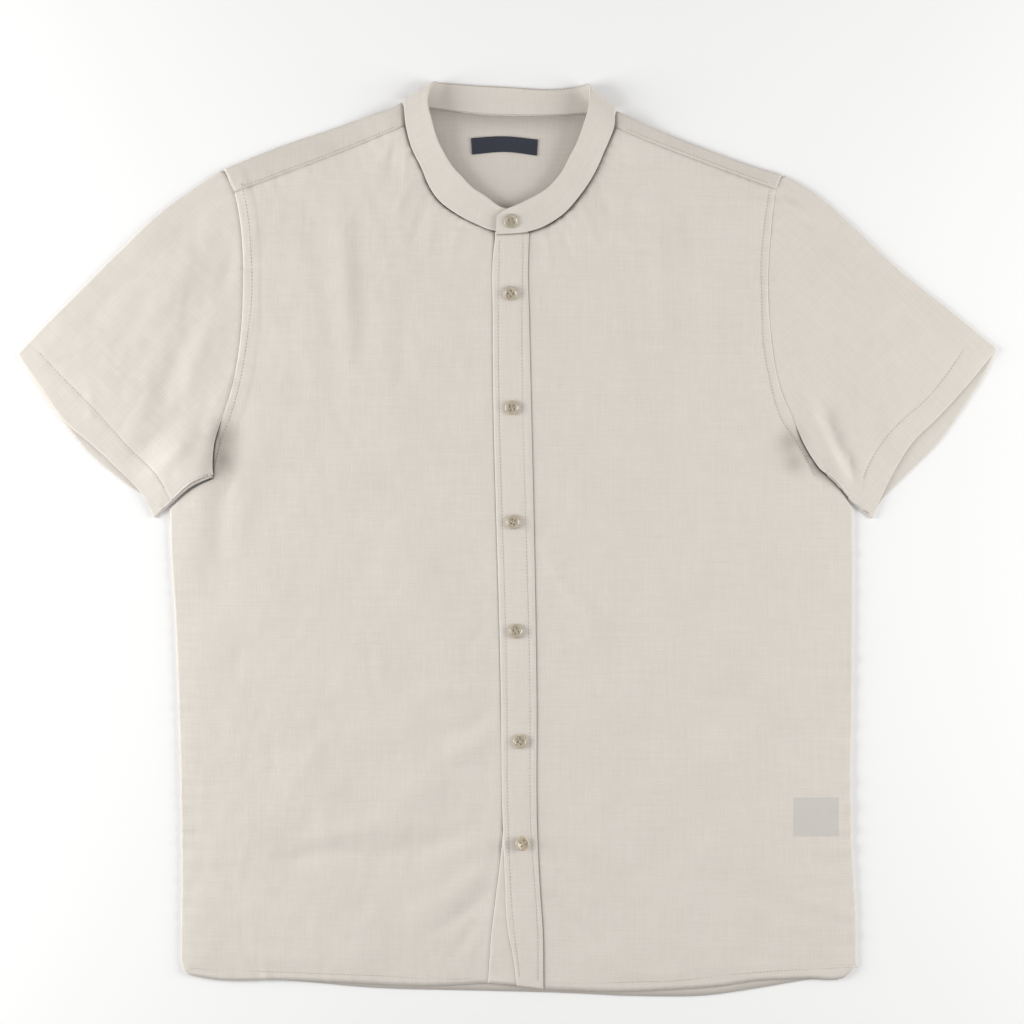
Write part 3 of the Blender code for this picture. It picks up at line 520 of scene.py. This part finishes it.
def planPiece(name, plan, height, wall=layers["shell"]):
    points = withHeight(plan, height)
    return clothMesh(name, points, plan, wall)


def makeBack():
    left, right = bodyEdge("right", atYokeSeam + 1), bodyEdge("left", atYokeSeam + 1)
    columns = 110
    plan = patch(left, right, smooth(hemBack, columns), smooth([left[-1], right[-1]], columns))
    return planPiece("back_cloth", plan[::2], lambda x, y: 0.78 + 0.12 * ground(x, y, wide))


def makeFront(side):
    outer = bodyEdge(side, atShoulderSeam + 1)
    centre = standSeam if side == "right" else placketOuter
    inner = chain((centre, 150), (neckSeam[side], len(outer) - 151))
    if side == "right":
        hem = smooth(hemFront["right"], 96)
        inner[152:] = shifted(inner, -0.6)[152:]
        plan = patch(outer, inner, hem, smooth(shoulderSeam["right"][::-1], 96))
    else:
        inner = np.vstack([shifted(inner, 1.5)[:151], shifted(inner, 0.6)[151:]])
        hem = smooth(hemFront["left"], 96)
        plan = patch(inner, outer, hem, smooth(shoulderSeam["left"], 96))
    return planPiece(f"front_{side}_cloth", plan, bodyTop)


def makeStand():
    edge = smooth(standSeam, 200)
    across = np.linspace(0.2, placketWidth, 12)[None, :, None]
    plan = edge[:, None] - sideways(edge)[:, None] * across
    return planPiece("button_stand_cloth", plan, lambda x, y: frontTop(x, y) - 0.05)


placket = {"lift": 1.05, "stitchDepth": 0.32, "stitchWidth": 0.9, "droop": 0.75, "edge": 0.5,
           "wall": 0.95}
placketStitches = {
    "right": smooth([(10.7, -357.9), (6.1, -321), (1.2, -226.7), (0.4, -132.4), (-6.6, 198.8),
                     (-5.8, 243.1)], 80),
    "left": smooth([(25.8, -362), (25.4, -321), (20.1, -242.3), (19.3, -132.4), (12.7, 184.1),
                    (13.5, 247.2)], 80),
}


def placketTop(x, y):
    z = frontTop(x, y) + placket["lift"]
    for line in placketStitches.values():
        away = nearLine(x, y, line)[0]
        z = z - placket["stitchDepth"] * np.exp(-(away / placket["stitchWidth"])**2)
    return z


def makePlacket():
    left, right = smooth(placketInner, 320), smooth(placketOuter, 320)
    share = np.array([0, 0.012, 0.04, 0.09, 0.15, 0.2, 0.26, 0.38, 0.5, 0.62, 0.74, 0.8, 0.85,
                      0.91, 0.96, 0.988, 1.0])[None, :, None]
    plan = left[:, None] * (1 - share) + right[:, None] * share
    points = withHeight(plan, placketTop)
    droop = np.exp(-np.minimum(share, 1 - share)[..., 0] * placketWidth / placket["edge"])
    points[..., 2] -= placket["droop"] * droop
    return clothMesh("placket_cloth", points, plan, placket["wall"])


def foldRadius(z):
    return np.maximum(layers["foldBulge"], layers["foldSlope"] * (z - layers["cloth"]))


def foldedIn(edge, side, height):
    # the edge of a folded piece, moved in by as much as its fold bulges
    inset = layers["cloth"] + foldRadius(height(edge[:, 0], edge[:, 1]))
    return shifted(edge, side * inset), -side * sideways(edge), inset


def roundFold(high, low, outward, inset, count=7):
    # points round a fold from the upper edge to the lower one, both left out
    angle = np.linspace(0, math.pi, count + 2)[1:-1][:, None, None]
    share = (1 - np.cos(angle)) / 2
    points = high[None] * (1 - share) + low[None] * share
    points[..., :2] += outward[None] * inset[None, :, None] * np.sin(angle)
    return points


def makeYoke():
    steps, neckSteps, rows = 56, 60, 14
    resting = 0.1
    foldEdges, normals, insets = {}, {}, {}
    for side, sign in (("right", 1), ("left", -1)):
        edge = smooth(shoulderFold[side], steps)
        foldEdges[side], normals[side], insets[side] = foldedIn(edge, sign, layBase)
    neck = shifted(smooth(neckBack, neckSteps), 0.5)[1:-1]
    top = np.vstack([foldEdges["right"][::-1], neck, foldEdges["left"]])
    left, right = (
        np.vstack([smooth(armhole[side][atYokeSeam:atShoulderSeam + 1], rows - 2), foldEdges[side][-1:]])
        for side in ("right", "left")
    )
    plan = patch(left, right, smooth([left[0], right[0]], len(top) - 1), top)
    lower = np.dstack([plan, np.full(plan.shape[:2], resting)])
    width = plan.shape[1]
    index = np.arange(lower.shape[0] * width).reshape(-1, width)
    faces = [np.stack([index[:-1, :-1], index[1:, :-1], index[1:, 1:], index[:-1, 1:]], -1).reshape(-1, 4)]
    points, flat = [lower.reshape(-1, 3)], [plan.reshape(-1, 2)]
    start = lower.shape[0] * width
    for side, base in (("right", index[-1, :steps + 1][::-1]), ("left", index[-1, -steps - 1:])):
        high = np.column_stack([foldEdges[side], bodyTop(*foldEdges[side].T)])
        low = np.column_stack([foldEdges[side], np.full(steps + 1, resting)])
        arc = roundFold(high, low, normals[side], insets[side])[::-1]
        seam = smooth(shoulderSeam[side], steps)
        share = np.linspace(0, 1, 11)[:, None, None]
        strip = foldEdges[side][None] * (1 - share) + seam[None] * share
        strip = withHeight(strip, bodyTop)
        grid = np.vstack([arc, strip])
        own = start + np.arange(grid.shape[0] * (steps + 1)).reshape(-1, steps + 1)
        start += own.size
        own = np.vstack([base[None], own])
        quads = np.stack([own[:-1, :-1], own[1:, :-1], own[1:, 1:], own[:-1, 1:]], -1).reshape(-1, 4)
        faces.append(quads[:, ::-1] if side == "right" else quads)
        points.append(grid.reshape(-1, 3))
        flat.append(grid[..., :2].reshape(-1, 2))
    return meshOf("yoke_cloth", np.vstack(points), np.vstack(faces), np.vstack(flat), layers["shell"])


def makeSleeve(side, sign, table):
    around, along = 96, 96
    def height(x, y):
        return sleeveTopHeight(x, y, table)
    def calm(x, y):
        return layBase(x, y) + bumps(x, y, sleeveLifts)
    topIn, topOut, topInset = foldedIn(smooth(sleeveTop[side], along), sign, calm)
    underIn, underOut, underInset = foldedIn(smooth(sleeveUnder[side], along), -sign, calm)
    head = smooth(armhole[side][::-1], around)
    head = np.vstack([topIn[:1], head[1:-1], underIn[:1]])
    layersOf = []
    for cuff in (cuffFront[side], cuffBack[side]):
        cuff = smooth(cuff, around)
        cuff = np.vstack([topIn[-1:], cuff[1:-1], underIn[-1:]])
        layersOf.append(patch(topIn, underIn, head, cuff))
    high = withHeight(layersOf[0], height)
    cuffAway = nearLine(high[..., 0], high[..., 1], cuffStitches[side])[0]
    high[..., 2] -= seams["cuffDepth"] * np.exp(-(cuffAway / seams["stitchWidth"])**2)
    low = np.dstack([layersOf[1], np.full(layersOf[1].shape[:2], 0.1)])
    under = roundFold(high[:, -1], low[:, -1], underOut, underInset)
    top = roundFold(high[:, 0], low[:, 0], topOut, topInset)[::-1]
    ring = np.concatenate([high, under.transpose(1, 0, 2), low[:, ::-1], top.transpose(1, 0, 2)], axis=1)
    if sign > 0:
        ring = ring[:, ::-1]
    tilt = math.radians(-45 * sign)
    turned = np.dstack([ring[..., 0] * math.cos(tilt) + ring[..., 1] * math.sin(tilt),
                        ring[..., 1] * math.cos(tilt) - ring[..., 0] * math.sin(tilt)])
    return clothMesh(f"sleeve_{side}_cloth", ring, turned, closed=True)


cuffStitches = {
    "right": smooth([(-389.5, 159.5), (-370.2, 138.2), (-339.1, 107), (-309.5, 74.2),
                     (-286.2, 51.2), (-275.1, 32.4)], 60),
    "left": smooth([(379.2, 162.8), (361.2, 134.9), (346.4, 116.8), (318.6, 91.4),
                    (304.6, 74.2), (293.1, 51.2), (290.3, 40.6)], 60),
}


def makeBand():
    table = []
    for seamX, seamY, freeX, freeY, layer, rise, over in bandRows:
        low = layers["band"] / 2
        here = layBase(np.array([seamX]), np.array([seamY]))[0]
        z = low + here * layer + over
        seam, free = np.array([seamX, seamY]), np.array([freeX, freeY])
        seam = seam + (free - seam) / np.hypot(*(free - seam)) * 0.6
        table.append([*seam, z, *free, z + rise])
    table = np.array(table, float)
    line = []
    for i in range(len(table) - 1):
        p0, p1, p2 = table[max(i - 1, 0)], table[i], table[i + 1]
        p3 = table[min(i + 2, len(table) - 1)]
        for t in np.arange(0, 1, 0.1):
            line.append((2*t**3 - 3*t**2 + 1) * p1 + (t**3 - 2*t**2 + t) * (p2 - p0) / 2
                        + (3*t**2 - 2*t**3) * p2 + (t**3 - t**2) * (p3 - p1) / 2)
    line = np.array(line + [table[-1]])
    share = np.array([0, 0.03, 0.08, 0.14, 0.22, 0.35, 0.5, 0.65, 0.78, 0.86, 0.92, 0.97, 1])
    grid = line[:, None, :3] * (1 - share[None, :, None]) + line[:, None, 3:] * share[None, :, None]
    run = np.concatenate([[0], np.cumsum(np.linalg.norm(np.diff(line[:, :3], axis=0), axis=1))])
    wave = 0.22 * np.sin(run / 5.2) + 0.18 * np.sin(run / 2.9 + 1) + 0.2 * np.sin(run / 9.5 + 2)
    lip = np.exp(-((share - 0.93) / 0.06)**2) + np.exp(-((share - 0.05) / 0.05)**2)
    grid[..., 2] += 0.35 * wave[:, None] * np.sin(np.pi * share)[None] + 0.22 * lip[None]
    grid[..., 2] = np.maximum(grid[..., 2] + layers["bandShell"] / 2, layers["bandShell"] + 0.1)
    uv = np.dstack([np.repeat(run[:, None], len(share), 1), share[None] * 22 + run[:, None] * 0])
    return clothMesh("collar_band_cloth", grid[:, ::-1], uv[:, ::-1], layers["bandShell"]), grid


def makeLabel(name, bottom, top, z):
    steps = 40
    low, high = smooth(bottom, steps), smooth(top, steps)
    share = np.linspace(0, 1, 15)[:, None, None]
    plan = low[None] * (1 - share) + high[None] * share
    lift = 0.25 * np.sin(plan[..., 0] / 4.6) + 0.3 * (np.linspace(-1, 1, 15)[:, None])**4
    return clothMesh(name, np.dstack([plan, z + 0.75 + lift]), plan, 0.5)


# stitches: a small waisted thread laid along each curve at equal steps

def curveOf(name, lines):
    curve = bpy.data.curves.new(name, "CURVE")
    curve.dimensions = "3D"
    for line in lines:
        spline = curve.splines.new("POLY")
        spline.points.add(len(line) - 1)
        spline.points.foreach_set("co", np.column_stack([line * mm, np.ones(len(line))]).ravel())
    made = added(name, curve)
    return made


def stitchTree():
    tree = bpy.data.node_groups.new("stitch_row", "GeometryNodeTree")
    face = tree.interface
    face.new_socket("Geometry", in_out="INPUT", socket_type="NodeSocketGeometry")
    pitch = face.new_socket("Pitch", in_out="INPUT", socket_type="NodeSocketFloat")
    long_ = face.new_socket("Length", in_out="INPUT", socket_type="NodeSocketFloat")
    thick = face.new_socket("Thickness", in_out="INPUT", socket_type="NodeSocketFloat")
    finish_ = face.new_socket("Finish", in_out="INPUT", socket_type="NodeSocketMaterial")
    face.new_socket("Geometry", in_out="OUTPUT", socket_type="NodeSocketGeometry")

    def node(kind, settings=(), **values):
        made = tree.nodes.new(kind)
        for key, value in dict(settings).items():
            setattr(made, key, value)
        for key, value in values.items():
            socket = made.inputs[key.replace("_", " ")]
            if hasattr(value, "is_output"):
                tree.links.new(value, socket)
            else:
                socket.default_value = value
        return made

    given = tree.nodes.new("NodeGroupInput").outputs
    points = node("GeometryNodeCurveToPoints", {"mode": "LENGTH"}, Curve=given["Geometry"],
                  Length=given["Pitch"])
    thread = node("GeometryNodeMeshUVSphere", Segments=6, Rings=5, Radius=0.5)
    size = node("ShaderNodeCombineXYZ", X=given["Thickness"], Y=given["Thickness"], Z=given["Length"])
    shaped = node("GeometryNodeTransform", Geometry=thread.outputs["Mesh"], Scale=size.outputs[0])
    placed = node("GeometryNodeInstanceOnPoints", Points=points.outputs["Points"],
                  Instance=shaped.outputs[0], Rotation=points.outputs["Rotation"])
    real = node("GeometryNodeRealizeInstances", Geometry=placed.outputs[0])
    coated = node("GeometryNodeSetMaterial", Geometry=real.outputs[0], Material=given["Finish"])
    tree.links.new(coated.outputs[0], tree.nodes.new("NodeGroupOutput").inputs[0])
    return tree, {"pitch": pitch.identifier, "length": long_.identifier,
                  "thickness": thick.identifier, "finish": finish_.identifier}


stitchSize = {"pitch": 2.9, "length": 2.35, "thickness": 0.62}


def stitched(name, lines, finish, tree, sockets, **sizes):
    rail = curveOf(name + "_rail", lines)
    grown = rail.modifiers.new("row", "NODES")
    grown.node_group = tree
    for key, value in {**stitchSize, **sizes}.items():
        grown[sockets[key]] = value * mm
    grown[sockets["finish"]] = finish
    bpy.context.view_layer.update()
    mesh = bpy.data.meshes.new_from_object(rail.evaluated_get(bpy.context.evaluated_depsgraph_get()))
    made = added(name, mesh)
    bpy.data.objects.remove(rail, do_unlink=True)
    mesh.shade_smooth()
    return made


def raised(line, height, lift=0.04):
    dense = respace(np.asarray(line, float), np.linspace(0, 1, max(8, int(len(line) * 2.5))))
    return np.column_stack([dense, height(dense[:, 0], dense[:, 1]) + lift])


# materials

class Value:
    # a socket that takes part in expressions
    def __init__(self, tree, socket):
        self.tree, self.socket = tree, socket

    def math(self, operation, other=None, swap=False):
        node = self.tree.nodes.new("ShaderNodeMath")
        node.operation = operation
        terms = [self, other] if not swap else [other, self]
        for number, term in enumerate(terms):
            if isinstance(term, Value):
                self.tree.links.new(term.socket, node.inputs[number])
            elif term is not None:
                node.inputs[number].default_value = term
        return Value(self.tree, node.outputs[0])

    def __add__(self, other): return self.math("ADD", other)
    def __radd__(self, other): return self.math("ADD", other)
    def __sub__(self, other): return self.math("SUBTRACT", other)
    def __rsub__(self, other): return self.math("SUBTRACT", other, swap=True)
    def __mul__(self, other): return self.math("MULTIPLY", other)
    def __rmul__(self, other): return self.math("MULTIPLY", other)


class Shader:
    def __init__(self, name, roughness, **constants):
        self.material = bpy.data.materials.new(name)
        self.material.use_nodes = True
        self.tree = self.material.node_tree
        self.shader = self.tree.nodes["Principled BSDF"]
        self.shader.inputs["Roughness"].default_value = roughness
        for key, value in constants.items():
            self.shader.inputs[key.replace("_", " ")].default_value = value

    def node(self, kind, output, settings=(), **values):
        made = self.tree.nodes.new(kind)
        for key, value in dict(settings).items():
            setattr(made, key, value)
        for key, value in values.items():
            self.set(made.inputs[key.replace("_", " ")], value)
        return Value(self.tree, made.outputs[output])

    def set(self, socket, value):
        if isinstance(value, Value):
            self.tree.links.new(value.socket, socket)
        else:
            socket.default_value = value

    def mix(self, mask, first, second):
        made = self.tree.nodes.new("ShaderNodeMix")
        made.data_type = "RGBA"
        for number, value in ((0, mask), (6, first), (7, second)):
            self.set(made.inputs[number], value)
        return Value(self.tree, made.outputs[2])

    def paint(self, colour, bump=None, strength=0.5, distance=0.0002):
        self.set(self.shader.inputs["Base Color"], colour)
        if bump is not None:
            bumped = self.node("ShaderNodeBump", "Normal", Strength=strength, Distance=distance,
                               Height=bump)
            self.set(self.shader.inputs["Normal"], bumped)
        return self.material


def linear(red, green, blue, share=1.0):
    return tuple(((c / 255)**2.2) * share for c in (red, green, blue)) + (1.0,)


def linen(name, light, dark, labelShadeBox=()):
    # plain weave: two sets of uneven threads, soft slubs both ways and a faint mottle
    m = Shader(name, 0.88, Sheen_Weight=0.12, Sheen_Roughness=0.6, Specular_IOR_Level=0.25)
    where = m.node("ShaderNodeUVMap", "UV", {"uv_map": "weave"})
    slubs = []
    for scale, seed in (((60, 2400, 1), 0.0), ((2400, 60, 1), 3.0)):
        at = m.node("ShaderNodeMapping", "Vector", Vector=where, Scale=scale, Location=(seed, seed, seed))
        slubs.append(m.node("ShaderNodeTexNoise", "Fac", Vector=at, Scale=1.0, Detail=2.0))
    longer = []
    for scale, seed in (((14, 700, 1), 5.0), ((700, 14, 1), 8.0)):
        at = m.node("ShaderNodeMapping", "Vector", Vector=where, Scale=scale, Location=(seed, seed, seed))
        longer.append(m.node("ShaderNodeTexNoise", "Fac", Vector=at, Scale=1.0, Detail=2.0))
    mottle = m.node("ShaderNodeTexNoise", "Fac", Vector=where, Scale=22.0, Detail=3.0)
    threads = slubs[0] + slubs[1]
    mask = (threads - 1.0) * 0.9 + (longer[0] + longer[1] - 1.0) * 0.55 + (mottle - 0.5) * 0.4 + 0.5
    colour = m.mix(mask, dark, light)
    # painted shade: the front goes grey where the care label lies beneath it, as if seen through the cloth
    if labelShadeBox:
        place = m.node("ShaderNodeSeparateXYZ", "X", Vector=where)
        across = Value(m.tree, place.socket.node.outputs["X"])
        along = Value(m.tree, place.socket.node.outputs["Y"])
        (x, halfX), (y, halfY) = labelShadeBox
        inside = ((across - x).math("ABSOLUTE").math("LESS_THAN", halfX)
                  * (along - y).math("ABSOLUTE").math("LESS_THAN", halfY))
        colour = m.mix(inside * 0.8, colour, linear(193, 190, 184))
    shade = m.node("ShaderNodeAttribute", "Fac", {"attribute_name": "shade"})
    colour = m.mix(shade, colour, linear(122, 111, 99))
    return m.paint(colour, threads + longer[0] * 0.4 + longer[1] * 0.4, 0.4, 0.00025)


# box of the painted shade where the care label shows through the wearer's left front
careLabelShade = ((0.2535, 0.0187), (-0.228, 0.016))   # middle and half size, across and along
finish = {
    "cloth": linen("linen", linear(217, 211, 203), linear(203, 196, 187)),
    "inside": linen("linen_inside", linear(210, 203, 195), linear(196, 189, 180)),
    "painted label shade": linen("linen_painted_label_shade", linear(217, 211, 203), linear(203, 196, 187),
                            labelShadeBox=careLabelShade),
}
thread = Shader("thread", 0.7, Sheen_Weight=0.2)
twist = thread.node("ShaderNodeTexNoise", "Fac", Vector=thread.node("ShaderNodeTexCoord", "Object"),
                    Scale=900.0, Detail=2.0)
finish["thread"] = thread.paint(thread.mix(twist, linear(168, 156, 140), linear(196, 185, 170)), twist)
navy = Shader("navy_weave", 0.6, Sheen_Weight=0.15)
rows = navy.node("ShaderNodeTexNoise", "Fac", Scale=1.0, Detail=2.0, Vector=navy.node(
    "ShaderNodeMapping", "Vector", Scale=(500, 3200, 1), Vector=navy.node(
        "ShaderNodeUVMap", "UV", {"uv_map": "weave"})))
finish["navy"] = navy.paint(navy.mix(rows, linear(26, 30, 42), linear(48, 53, 66)), rows, 0.5, 0.0002)
care = Shader("care_satin", 0.5)
grain = care.node("ShaderNodeTexNoise", "Fac", Scale=600.0,
                  Vector=care.node("ShaderNodeTexCoord", "Object"))
finish["care"] = care.paint(care.mix(grain, linear(150, 148, 146), linear(170, 168, 166)), grain)
pearl = Shader("button_plastic", 0.24, Coat_Weight=0.5, Coat_Roughness=0.12, Subsurface_Weight=0.12)
cloud = pearl.node("ShaderNodeTexNoise", "Fac", Vector=pearl.node("ShaderNodeTexCoord", "Object"),
                   Scale=260.0, Detail=3.0, Distortion=1.2)
finish["button"] = pearl.paint(pearl.mix(cloud, linear(150, 134, 114), linear(204, 191, 172)))


# buttons

buttons = [  # x, y, turn, tilt
    (3.9, 259.5, 20, 0), (3.4, 200.5, 40, 0), (4.6, 107, 10, 0), (5.5, 13.5, 75, 0),
    (7.8, -75.8, 30, 0), (11.2, -166, 55, 0), (12.4, -249.5, 25, 24),
]
buttonSize = {"radius": 6.0, "thick": 2.4, "rim": 1.6, "dish": 0.7, "hole": 0.85, "spacing": 1.45}


def buttonBlank():
    s = buttonSize
    r, t = s["radius"], s["thick"]
    profile = [(0, t - s["dish"]), (r - s["rim"] - 0.7, t - s["dish"]),
               (r - s["rim"] - 0.3, t - s["dish"] + 0.12),
               (r - s["rim"] + 0.1, t - 0.1), (r - 1.1, t), (r - 0.7, t - 0.05), (r - 0.25, t - 0.35),
               (r, t - 0.9), (r - 0.1, 0.8), (r - 0.5, 0.3), (r - 1.2, 0), (0, 0)]
    mesh = bpy.data.meshes.new("button_profile")
    edges = [(i, i + 1) for i in range(len(profile) - 1)]
    mesh.from_pydata([(x * mm, 0, z * mm) for x, z in profile], edges, [])
    blank = added("button_blank", mesh)
    spun = blank.modifiers.new("spun", "SCREW")
    spun.steps = spun.render_steps = 64
    spun.use_merge_vertices = True
    spun.merge_threshold = 1e-5
    holes = bmesh.new()
    for x in (-s["spacing"], s["spacing"]):
        for y in (-s["spacing"], s["spacing"]):
            at = Matrix.Translation((x * mm, y * mm, 0))
            bmesh.ops.create_cone(holes, cap_ends=True, segments=20, radius1=s["hole"] * mm,
                                  radius2=s["hole"] * mm, depth=8 * mm, matrix=at)
    cutterMesh = bpy.data.meshes.new("button_holes")
    holes.to_mesh(cutterMesh)
    cutter = added("button_holes", cutterMesh)
    cut = blank.modifiers.new("holes", "BOOLEAN")
    cut.operation, cut.object, cut.solver = "DIFFERENCE", cutter, "EXACT"
    bpy.context.view_layer.update()
    made = bpy.data.meshes.new_from_object(blank.evaluated_get(bpy.context.evaluated_depsgraph_get()))
    for old in (blank, cutter):
        bpy.data.objects.remove(old, do_unlink=True)
    return made


def one(function, x, y):
    return float(function(np.array([float(x)]), np.array([float(y)]))[0])


def makeButton(number, blank, x, y, turn, tilt, seat):
    lean = math.radians(tilt)
    place = (Matrix.Translation((x * mm, y * mm, (seat + math.sin(lean) * buttonSize["radius"]) * mm))
             @ Matrix.Rotation(lean, 4, "Y") @ Matrix.Rotation(math.radians(turn), 4, "Z"))
    mesh = blank.copy()
    mesh.transform(place)
    mesh.materials.clear()
    mesh.materials.append(finish["button"])
    made = added(f"button_{number}_pearl", mesh)
    mesh.shade_smooth()
    threads = bmesh.new()
    s = buttonSize["spacing"]
    top = buttonSize["thick"] - buttonSize["dish"] + 0.1
    for y0 in (-s, s):
        for offset in (-0.25, 0.05, 0.3):
            bar = (Matrix.Translation((0, (y0 + offset) * mm, top * mm))
                   @ Matrix.Rotation(math.pi / 2, 4, "Y")
                   @ Matrix.Diagonal((0.34 * mm, 0.34 * mm, (s + 0.45) * 2 * mm, 1)))
            bmesh.ops.create_uvsphere(threads, u_segments=8, v_segments=6, radius=0.5, matrix=place @ bar)
    threadMesh = bpy.data.meshes.new(f"button_{number}_thread")
    threads.to_mesh(threadMesh)
    threadMesh.materials.append(finish["thread"])
    threadMesh.shade_smooth()
    sewn = added(f"button_{number}_thread", threadMesh)
    return made, sewn


print("cutting the cloth")
cloth = {
    "back": makeBack(), "yoke": makeYoke(), "front_right": makeFront("right"),
    "front_left": makeFront("left"), "button_stand": makeStand(), "placket": makePlacket(),
    "sleeve_right": makeSleeve("right", 1, rightSleeveCreases),
    "sleeve_left": makeSleeve("left", -1, leftSleeveCreases),
}
cloth["collar_band"], bandGrid = makeBand()
cloth["neck_label"] = makeLabel("neck_label_weave", [(-28.4, 314.6), (-1.2, 316.8), (25, 313.8)],
                                [(-29.1, 328), (-5.3, 329.6), (25.8, 327)], 0.85)
cloth["care_label"] = makeLabel("care_label_satin", [(234, -245), (253, -245), (273, -245)],
                                [(234, -212), (253, -212), (273, -212)], 0.85)

print("sewing the stitches")
tree, sockets = stitchTree()
bandOuter = bandGrid[:, 1].copy()
bandOuter[:, 2] += 0.1
bandFree = bandGrid[:, -2].copy()
bandFree[:, 2] += 0.1
rowsOf = {
    "front_right": [raised(hemLines["right"], bodyTop), raised(fellLines["right"], bodyTop)],
    "front_left": [raised(hemLines["left"], bodyTop), raised(fellLines["left"], bodyTop)],
    "placket": [raised(line, placketTop) for line in placketStitches.values()],
    "sleeve_right": [raised(cuffStitches["right"][4:-4],
                            lambda x, y: sleeveTopHeight(x, y, rightSleeveCreases) - 0.35)],
    "sleeve_left": [raised(cuffStitches["left"][4:-4],
                           lambda x, y: sleeveTopHeight(x, y, leftSleeveCreases) - 0.35)],
    "yoke": [raised(shifted(smooth(shoulderSeam[s], 30), d)[2:-2], bodyTop)
             for s, d in (("right", -2.4), ("left", 2.4))],
    "collar_band": [bandOuter, bandFree],
}
stitches = {name: stitched(name + "_stitches", lines, finish["thread"], tree, sockets)
            for name, lines in rowsOf.items()}

print("sewing on the buttons")
blank = buttonBlank()
buttonPieces = []
for number, (x, y, turn, tilt) in enumerate(buttons, start=1):
    if number == 1:
        seat = one(layBase, x, y - 8) + layers["band"] + 2.4 + layers["gap"]
    else:
        seat = one(placketTop, x, y) + 0.2
    buttonPieces.append(makeButton(number, blank, x, y, turn, tilt, seat))

print("putting the pieces on the frame")
sheetFacts = {  # width, length, how it is held, what it rests on
    "back": ((0.562, 0.640), "laid", ("floor",), 0.335),
    "yoke": ((0.462, 0.130), "folded", ("floor",), None),
    "front_right": ((0.275, 0.710), "laid", ("back", "yoke"), 0.170),
    "front_left": ((0.265, 0.710), "laid", ("back", "yoke"), 0.165),
    "button_stand": ((0.028, 0.620), "laid", ("back",), None),
    "placket": ((0.027, 0.620), "laid", ("button_stand",), None),
    "sleeve_right": ((0.500, 0.230), "folded", ("floor",), 0.062),
    "sleeve_left": ((0.500, 0.230), "folded", ("floor",), 0.062),
    "collar_band": ((0.430, 0.024), "folded", ("yoke", "front_right"), None),
    "neck_label": ((0.055, 0.014), "laid", ("yoke",), None),
    "care_label": ((0.039, 0.033), "laid", ("back",), None),
}
finishOf = {"front_left": "painted label shade", "neck_label": "navy", "care_label": "care",
            "yoke": "inside", "back": "inside"}
for name, piece in cloth.items():
    piece.data.materials.append(finish[finishOf.get(name, "cloth")])
    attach(piece, "root")
    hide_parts(name)
for name, piece in stitches.items():
    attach(piece, "root")
for number, (button, sewn) in enumerate(buttonPieces, start=1):
    for piece, kind in ((button, "button"), (sewn, "thread")):
        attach(piece, "root")
    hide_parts(f"button_{number}")

# floor, light and camera
floorMesh = bpy.data.meshes.new("floor")
floorSize = {"half": 3, "height": -0.0002}
half, low = floorSize["half"], floorSize["height"]
floorMesh.from_pydata([(-half, -half, low), (half, -half, low), (half, half, low), (-half, half, low)],
                      [], [(0, 1, 2, 3)])
floor = added("floor", floorMesh)
white = Shader("floor_white", 0.9)
speck = white.node("ShaderNodeTexNoise", "Fac", Scale=3.0,
                   Vector=white.node("ShaderNodeTexCoord", "Object"))
floorMesh.materials.append(white.paint(white.mix(speck, (0.86, 0.86, 0.855, 1), (0.88, 0.88, 0.875, 1))))
for name, (flat, held, rests, area) in sheetFacts.items():
    with_ = [stitches[name]] if name in stitches else []

world = bpy.data.worlds.new("studio")
bpy.context.scene.world = world
world.use_nodes = True
world.node_tree.nodes["Background"].inputs["Color"].default_value = (1, 0.995, 0.985, 1)
world.node_tree.nodes["Background"].inputs["Strength"].default_value = 0.46
softboxes = [  # name, place, watts, size
    ("left", (-1.6, 0.05, 0.6), 30, 1.0), ("right", (1.6, 0.05, 0.7), 22, 1.0),
]
for name, place, energy, size in softboxes:
    light = bpy.data.lights.new(name + "_softbox", "AREA")
    light.energy, light.size = energy, size
    lamp = added(name + "_softbox", light)
    lamp.location = place
    aim = -lamp.location.normalized()
    lamp.rotation_euler = aim.to_track_quat("-Z", "Y").to_euler()

camera = added("camera", bpy.data.cameras.new("camera"))
cameraFacts = {"x": 0.0045, "y": 0.0217, "height": 3.0, "viewWidth": 0.8397, "sensor": 36}
camera.location = (cameraFacts["x"], cameraFacts["y"], cameraFacts["height"])
camera.data.sensor_width = cameraFacts["sensor"]
camera.data.lens = cameraFacts["sensor"] * cameraFacts["height"] / cameraFacts["viewWidth"]
bpy.context.scene.camera = camera
bpy.context.scene.view_settings.view_transform = "Standard"
